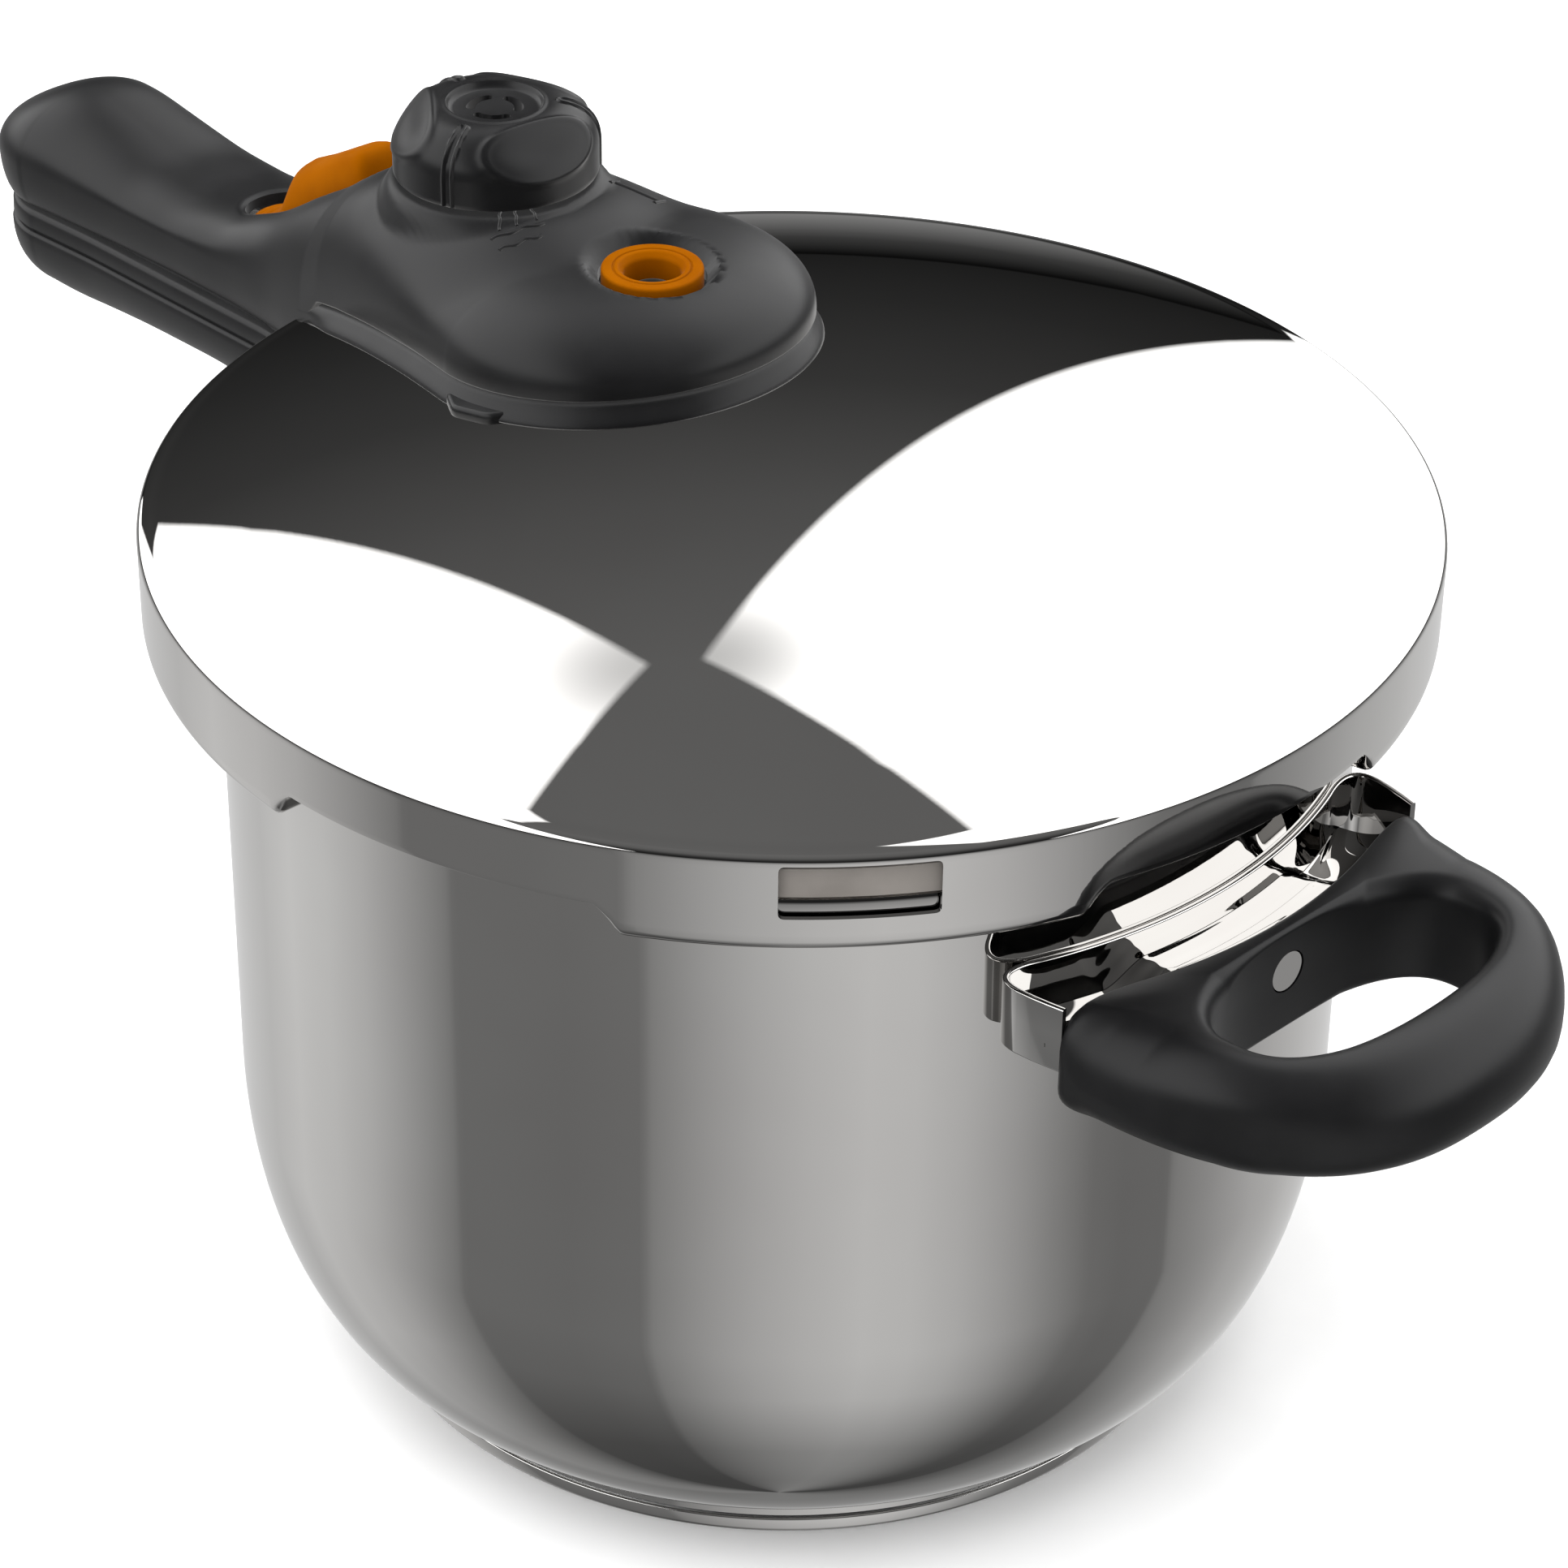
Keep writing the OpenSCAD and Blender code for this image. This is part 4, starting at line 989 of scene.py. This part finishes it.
def sliderSurface():
    # a low tongue that sweeps up to the thumb ridge; its plan is round at the rear
    x = np.linspace(slider["frontX"], slider["rearX"] + slider["halfW"], 110)
    end = np.radians(np.linspace(90, 180, 26))
    rearX = slider["rearX"] + slider["halfW"]
    foot, reach, ux, uy = wholeOutline(
        np.concatenate([x[:-1], rearX + slider["halfW"] * np.cos(end)]),
        np.concatenate([np.full(109, slider["halfW"]), slider["halfW"] * np.sin(end)]),
        np.concatenate([x[:-1], np.full_like(end, rearX)]))
    firstRib, lastRib = slider["ribs"]
    rows = []
    for psi in np.linspace(0, np.pi / 2, 26):
        share = np.sin(psi) ** (2 / 5)
        out = reach * share
        px, py = foot + ux * out, uy * out
        # the ramp is round in plan, so it starts later towards the sides
        high = smoothLine(px - slider["nose"] * py ** 2 * smoothStep(-126, -136, px), slider["top"], 0.9)
        onRidge = smoothStep(-144, -134, px) * (1 - smoothStep(-124, -119, px))
        sag = 0.7 * onRidge * (1 - (py / slider["halfW"]) ** 2)
        onTongue = smoothStep(firstRib - 0.5, firstRib + 0.5, px) * (1 - smoothStep(lastRib, lastRib + 1, px)) \
            * (1 - smoothStep(4.2, 5.6, np.abs(py)))
        ribs = -0.4 * np.maximum(0, np.cos((px + 0.04 * py ** 2 - firstRib) * np.pi / 1.35)) * onTongue
        level = high - sag + ribs
        z = (slider["lowZ"] + 0.6) + (level - slider["lowZ"] - 0.6) * np.maximum(np.cos(psi), 0) ** (2 / 5)
        rows.append(np.stack([px, py, z], -1))
    for share in (1, 0.6, 0):
        out = reach * share
        rows.append(np.stack([foot + ux * out, uy * out, slider["lowZ"] + 0 * out], -1))
    points = np.array(rows)
    count, cols = points.shape[:2]
    return points, gridFaces(count, cols) + closeEnds(count, cols)


settle(makePiece("lockSlider", [sliderSurface()], 50), "lock", "orange_nylon", orangeNylon, "lock_slider")

# pressure indicator
ring = {"x": -39.0, "outR": 10.0, "inR": 5.6, "lowZ": 212.2, "topZ": 218.8}
high = ring["topZ"]
ringLine = roundCorners([[ring["inR"], ring["lowZ"]], [ring["outR"], ring["lowZ"]], [ring["outR"], high],
                         [7.9, high], [7.75, high - 0.3], [7.5, high - 0.3], [7.35, high],
                         [6.6, high], [ring["inR"], high - 1.2]],
                        [0.2, 0.2, 0.7, 0.1, 0.1, 0.1, 0.1, 0.5, 0.5])
settle(makePiece("indicatorRing", [revolve(ringLine, 144, (ring["x"], 0))], 50), "indicator", "orange_nylon",
       orangeNylon, "indicator_ring")

dome = np.radians(np.linspace(0, 90, 12))
pinLine = np.concatenate([[[0, 188.6], [4.2, 188.6], [4.6, 189], [4.6, 190.2], [3, 190.4], [3, 207.6],
                           [8.6, 207.8], [9, 208.2], [9, 211.8], [8.7, 212.15], [5.5, 212.15]],
                          np.c_[5.5 * np.cos(dome), 212.4 + 2.5 * np.sin(dome)]])
settle(makePiece("indicatorPin", [revolve(pinLine, 96, (ring["x"], 0))], 40), "indicator", "black_nylon",
       blackNylon, "indicator_pin")

# the polished lid mirrors the studio only, not the pieces that stand on it
for name in ("handleCover", "coverMarks", "handleBase", "ventOutlet", "regulatorKnob", "lockSlider",
             "indicatorRing"):
    bpy.data.objects[name].visible_glossy = False

# finishes of the CAD nodes that stay
finishes = {
    polishedSteel: ["side_handle_screw", "grip_screws"],
    brushedSteel: ["pot_handle_bracket", "pot_handle_screws", "catch_plate", "lid_studs", "stud_nuts",
                   "valve_tube", "valve_tube_nut", "valve_washer", "relief_valve_body", "relief_valve_nut",
                   "lock_bar", "lock_pin", "regulator_insert", "regulator_plunger", "relief_plunger"],
    springWire: ["lock_spring", "regulator_spring", "relief_spring"],
    pressedAluminium: ["base_core"],
    blackPhenolic: ["grip_plate"],
    siliconeRubber: ["sealing_ring", "indicator_bush"],
}
mirrored = ["side_handle_screw", "pot_handle_bracket", "pot_handle_screws", "catch_plate", "base_core",
            "sealing_ring"]
for finish, names in finishes.items():
    for name in names:
        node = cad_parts[name]
        node.visible_glossy = name in mirrored
        if not node.material_slots:
            node.data.materials.append(finish)
        for slot in node.material_slots:
            slot.material = finish
print("finishes set")

# floor
floorMesh = bpy.data.meshes.new("floor")
floorMesh.from_pydata([(-6, -6, 0), (6, -6, 0), (6, 6, 0), (-6, 6, 0)], [], [[0, 1, 2, 3]])
floor = bpy.data.objects.new("floor", floorMesh)
bpy.context.scene.collection.objects.link(floor)
floorPaint, tree, shader = newMaterial("paleStudioFloor")
speck = addNode(tree, "ShaderNodeTexNoise", {"Vector": objectSpace(tree), "Scale": 40.0, "Detail": 2.0})
tone = setRamp(addNode(tree, "ShaderNodeValToRGB", {"Fac": speck.outputs["Fac"]}), [
    (0.3, hexToLinear("#f4f4f4")), (0.7, hexToLinear("#f7f7f7"))])
tree.links.new(tone.outputs["Color"], shader.inputs["Base Color"])
shader.inputs["Roughness"].default_value = 0.9
floorMesh.materials.append(floorPaint)
floor.visible_glossy = False

# studio
# Soft boxes are two great lunes of the sky; below the horizon the sweep of the studio grows lighter
studio = {
    "leftNormals": ((-0.1944, -0.9354, 0.2955), (-0.8494, -0.3611, -0.3849)),
    "leftCorner": (-0.505, 0.351, 0.788),
    "rightNormals": ((0.8341, 0.4803, 0.2713), (0.0812, 0.9132, -0.3994)),
    "rightCorner": (-0.481, 0.388, 0.786), "cornerGlow": (6.0, 0.5),
    "boxStrength": 2.4, "cornerStrength": 0.8, "steel": 0.62, "edgeSoft": 0.004, "horizon": 4.0,
    "sky": [(4, 26), (12, 36), (24, 50), (38, 74), (52, 88), (90, 98)],
    "around": [(-180, 172), (-166, 186), (-152, 180), (-140, 167), (-130, 148), (-117, 116), (-115, 101),
               (-90, 100), (-74, 104), (-71.5, 124), (-60, 148), (-50, 164), (-40, 176), (-28, 185), (-18, 182),
               (-8, 171), (2, 153), (12, 130), (22, 106), (30, 100), (42, 101), (44, 120), (56, 138), (72, 160),
               (95, 176), (130, 182), (180, 172)],
    "fade": [(4, 0.05), (0, 0.3), (-8, 0.66), (-20, 0.9), (-34, 1.0), (-50, 0.92), (-58, 0.81), (-66, 0.7),
             (-80, 0.62), (-90, 0.62)],
}


def buildWorld():
    world = bpy.data.worlds.new("studio")
    bpy.context.scene.world = world
    world.use_nodes = True
    tree = world.node_tree
    tree.nodes.clear()
    way = addNode(tree, "ShaderNodeTexCoord").outputs["Generated"]
    parts = addNode(tree, "ShaderNodeSeparateXYZ", {"Vector": way})

    def maths(operation, a, b=0.0, clamp=False):
        return addNode(tree, "ShaderNodeMath", {0: a, 1: b}, operation=operation, use_clamp=clamp).outputs[0]

    def facing(direction):
        dot = addNode(tree, "ShaderNodeVectorMath", {0: way, 1: direction}, operation="DOT_PRODUCT")
        return dot.outputs["Value"]

    def step(value, low, high):
        return addNode(tree, "ShaderNodeMapRange", {
            "Value": value, "From Min": low, "From Max": high, "To Min": 0.0, "To Max": 1.0}).outputs["Result"]

    # elevation and azimuth as shares of their ranges
    elevation = maths("ARCSINE", parts.outputs["Z"])
    azimuth = maths("ARCTAN2", parts.outputs["Y"], parts.outputs["X"])
    elevationShare = maths("ADD", maths("MULTIPLY", elevation, 1 / math.pi), 0.5)
    azimuthShare = maths("ADD", maths("MULTIPLY", azimuth, 0.5 / math.pi), 0.5)
    grey = lambda v: (v, v, v, 1)
    sky = setRamp(addNode(tree, "ShaderNodeValToRGB", {"Fac": elevationShare}), [
        ((e + 90) / 180, grey(greyLinear(v) / studio["steel"])) for e, v in studio["sky"]])
    around = setRamp(addNode(tree, "ShaderNodeValToRGB", {"Fac": azimuthShare}), [
        ((a + 180) / 360, grey(greyLinear(v) / studio["steel"])) for a, v in studio["around"]])
    fade = setRamp(addNode(tree, "ShaderNodeValToRGB", {"Fac": elevationShare}), [
        ((e + 90) / 180, grey(v ** 2.2)) for e, v in sorted(studio["fade"])])
    above = step(elevation, math.radians(studio["horizon"] - 0.15), math.radians(studio["horizon"] + 0.15))
    below = maths("MULTIPLY", around.outputs["Color"], fade.outputs["Color"])
    soft = studio["edgeSoft"]
    level = maths("ADD", maths("MULTIPLY", sky.outputs["Color"], above),
                  maths("MULTIPLY", below, maths("SUBTRACT", 1.0, above)))
    for side in ("left", "right"):
        inside = maths("MULTIPLY", *[step(facing(n), -soft, soft) for n in studio[side + "Normals"]])
        inside = maths("MULTIPLY", inside, above)
        # each box is dimmer around its inner corner
        wide, narrow = (math.cos(math.radians(a)) for a in studio["cornerGlow"])
        glow = addNode(tree, "ShaderNodeMapRange", {
            "Value": facing(studio[side + "Corner"]), "From Min": wide, "From Max": narrow,
            "To Min": studio["boxStrength"], "To Max": studio["cornerStrength"]}).outputs["Result"]
        outside = maths("MULTIPLY", level, maths("SUBTRACT", 1.0, inside))
        level = maths("ADD", outside, maths("MULTIPLY", inside, glow))
    shader = addNode(tree, "ShaderNodeBackground", {"Color": (1, 1, 1, 1), "Strength": level})
    addNode(tree, "ShaderNodeOutputWorld", {"Surface": shader.outputs["Background"]})


buildWorld()

lamps = {
    "fill": {"place": (0.3, -0.6, 2.2), "size": 3.0, "power": 60.0},
}
for name, values in lamps.items():
    light = bpy.data.lights.new(name, "AREA")
    light.shape = "DISK"
    light.size = values["size"]
    light.energy = values["power"]
    lamp = bpy.data.objects.new(name, light)
    lamp.location = values["place"]
    lamp.visible_glossy = False
    bpy.context.scene.collection.objects.link(lamp)
    towards = -lamp.location.normalized()
    lamp.rotation_euler = towards.to_track_quat("-Z", "Y").to_euler()

bpy.context.scene.view_settings.view_transform = "Standard"

# camera
view = {"place": (0.5720745, -0.5720745, 0.63955), "yaw": -0.0011, "pitch": 0.5723, "roll": 0.0132,
        "azimuth": 45.0, "lens": 111.04, "sensor": 36.0}


def buildCamera():
    # the view's own axes, turned by the azimuth into the part's frame
    yaw, pitch, roll = view["yaw"], view["pitch"], view["roll"]
    right = np.array([math.cos(yaw), -math.sin(yaw), 0])
    ahead = np.array([math.sin(yaw) * math.cos(pitch), math.cos(yaw) * math.cos(pitch), -math.sin(pitch)])
    up = np.cross(right, ahead)
    c, s = math.cos(roll), math.sin(roll)
    right, up = c * right + s * up, -s * right + c * up
    a = math.radians(view["azimuth"])
    turn = np.array([[math.cos(a), -math.sin(a), 0], [math.sin(a), math.cos(a), 0], [0, 0, 1]])
    right, up, ahead = turn @ right, turn @ up, turn @ ahead
    data = bpy.data.cameras.new("camera")
    data.lens, data.sensor_width = view["lens"], view["sensor"]
    data.clip_start, data.clip_end = 0.05, 50
    camera = bpy.data.objects.new("camera", data)
    axes = [[right[i], up[i], -ahead[i], view["place"][i]] for i in range(3)]
    camera.matrix_world = Matrix(axes + [[0, 0, 0, 1]])
    bpy.context.scene.collection.objects.link(camera)
    bpy.context.scene.camera = camera


buildCamera()
print("studio and camera ready")
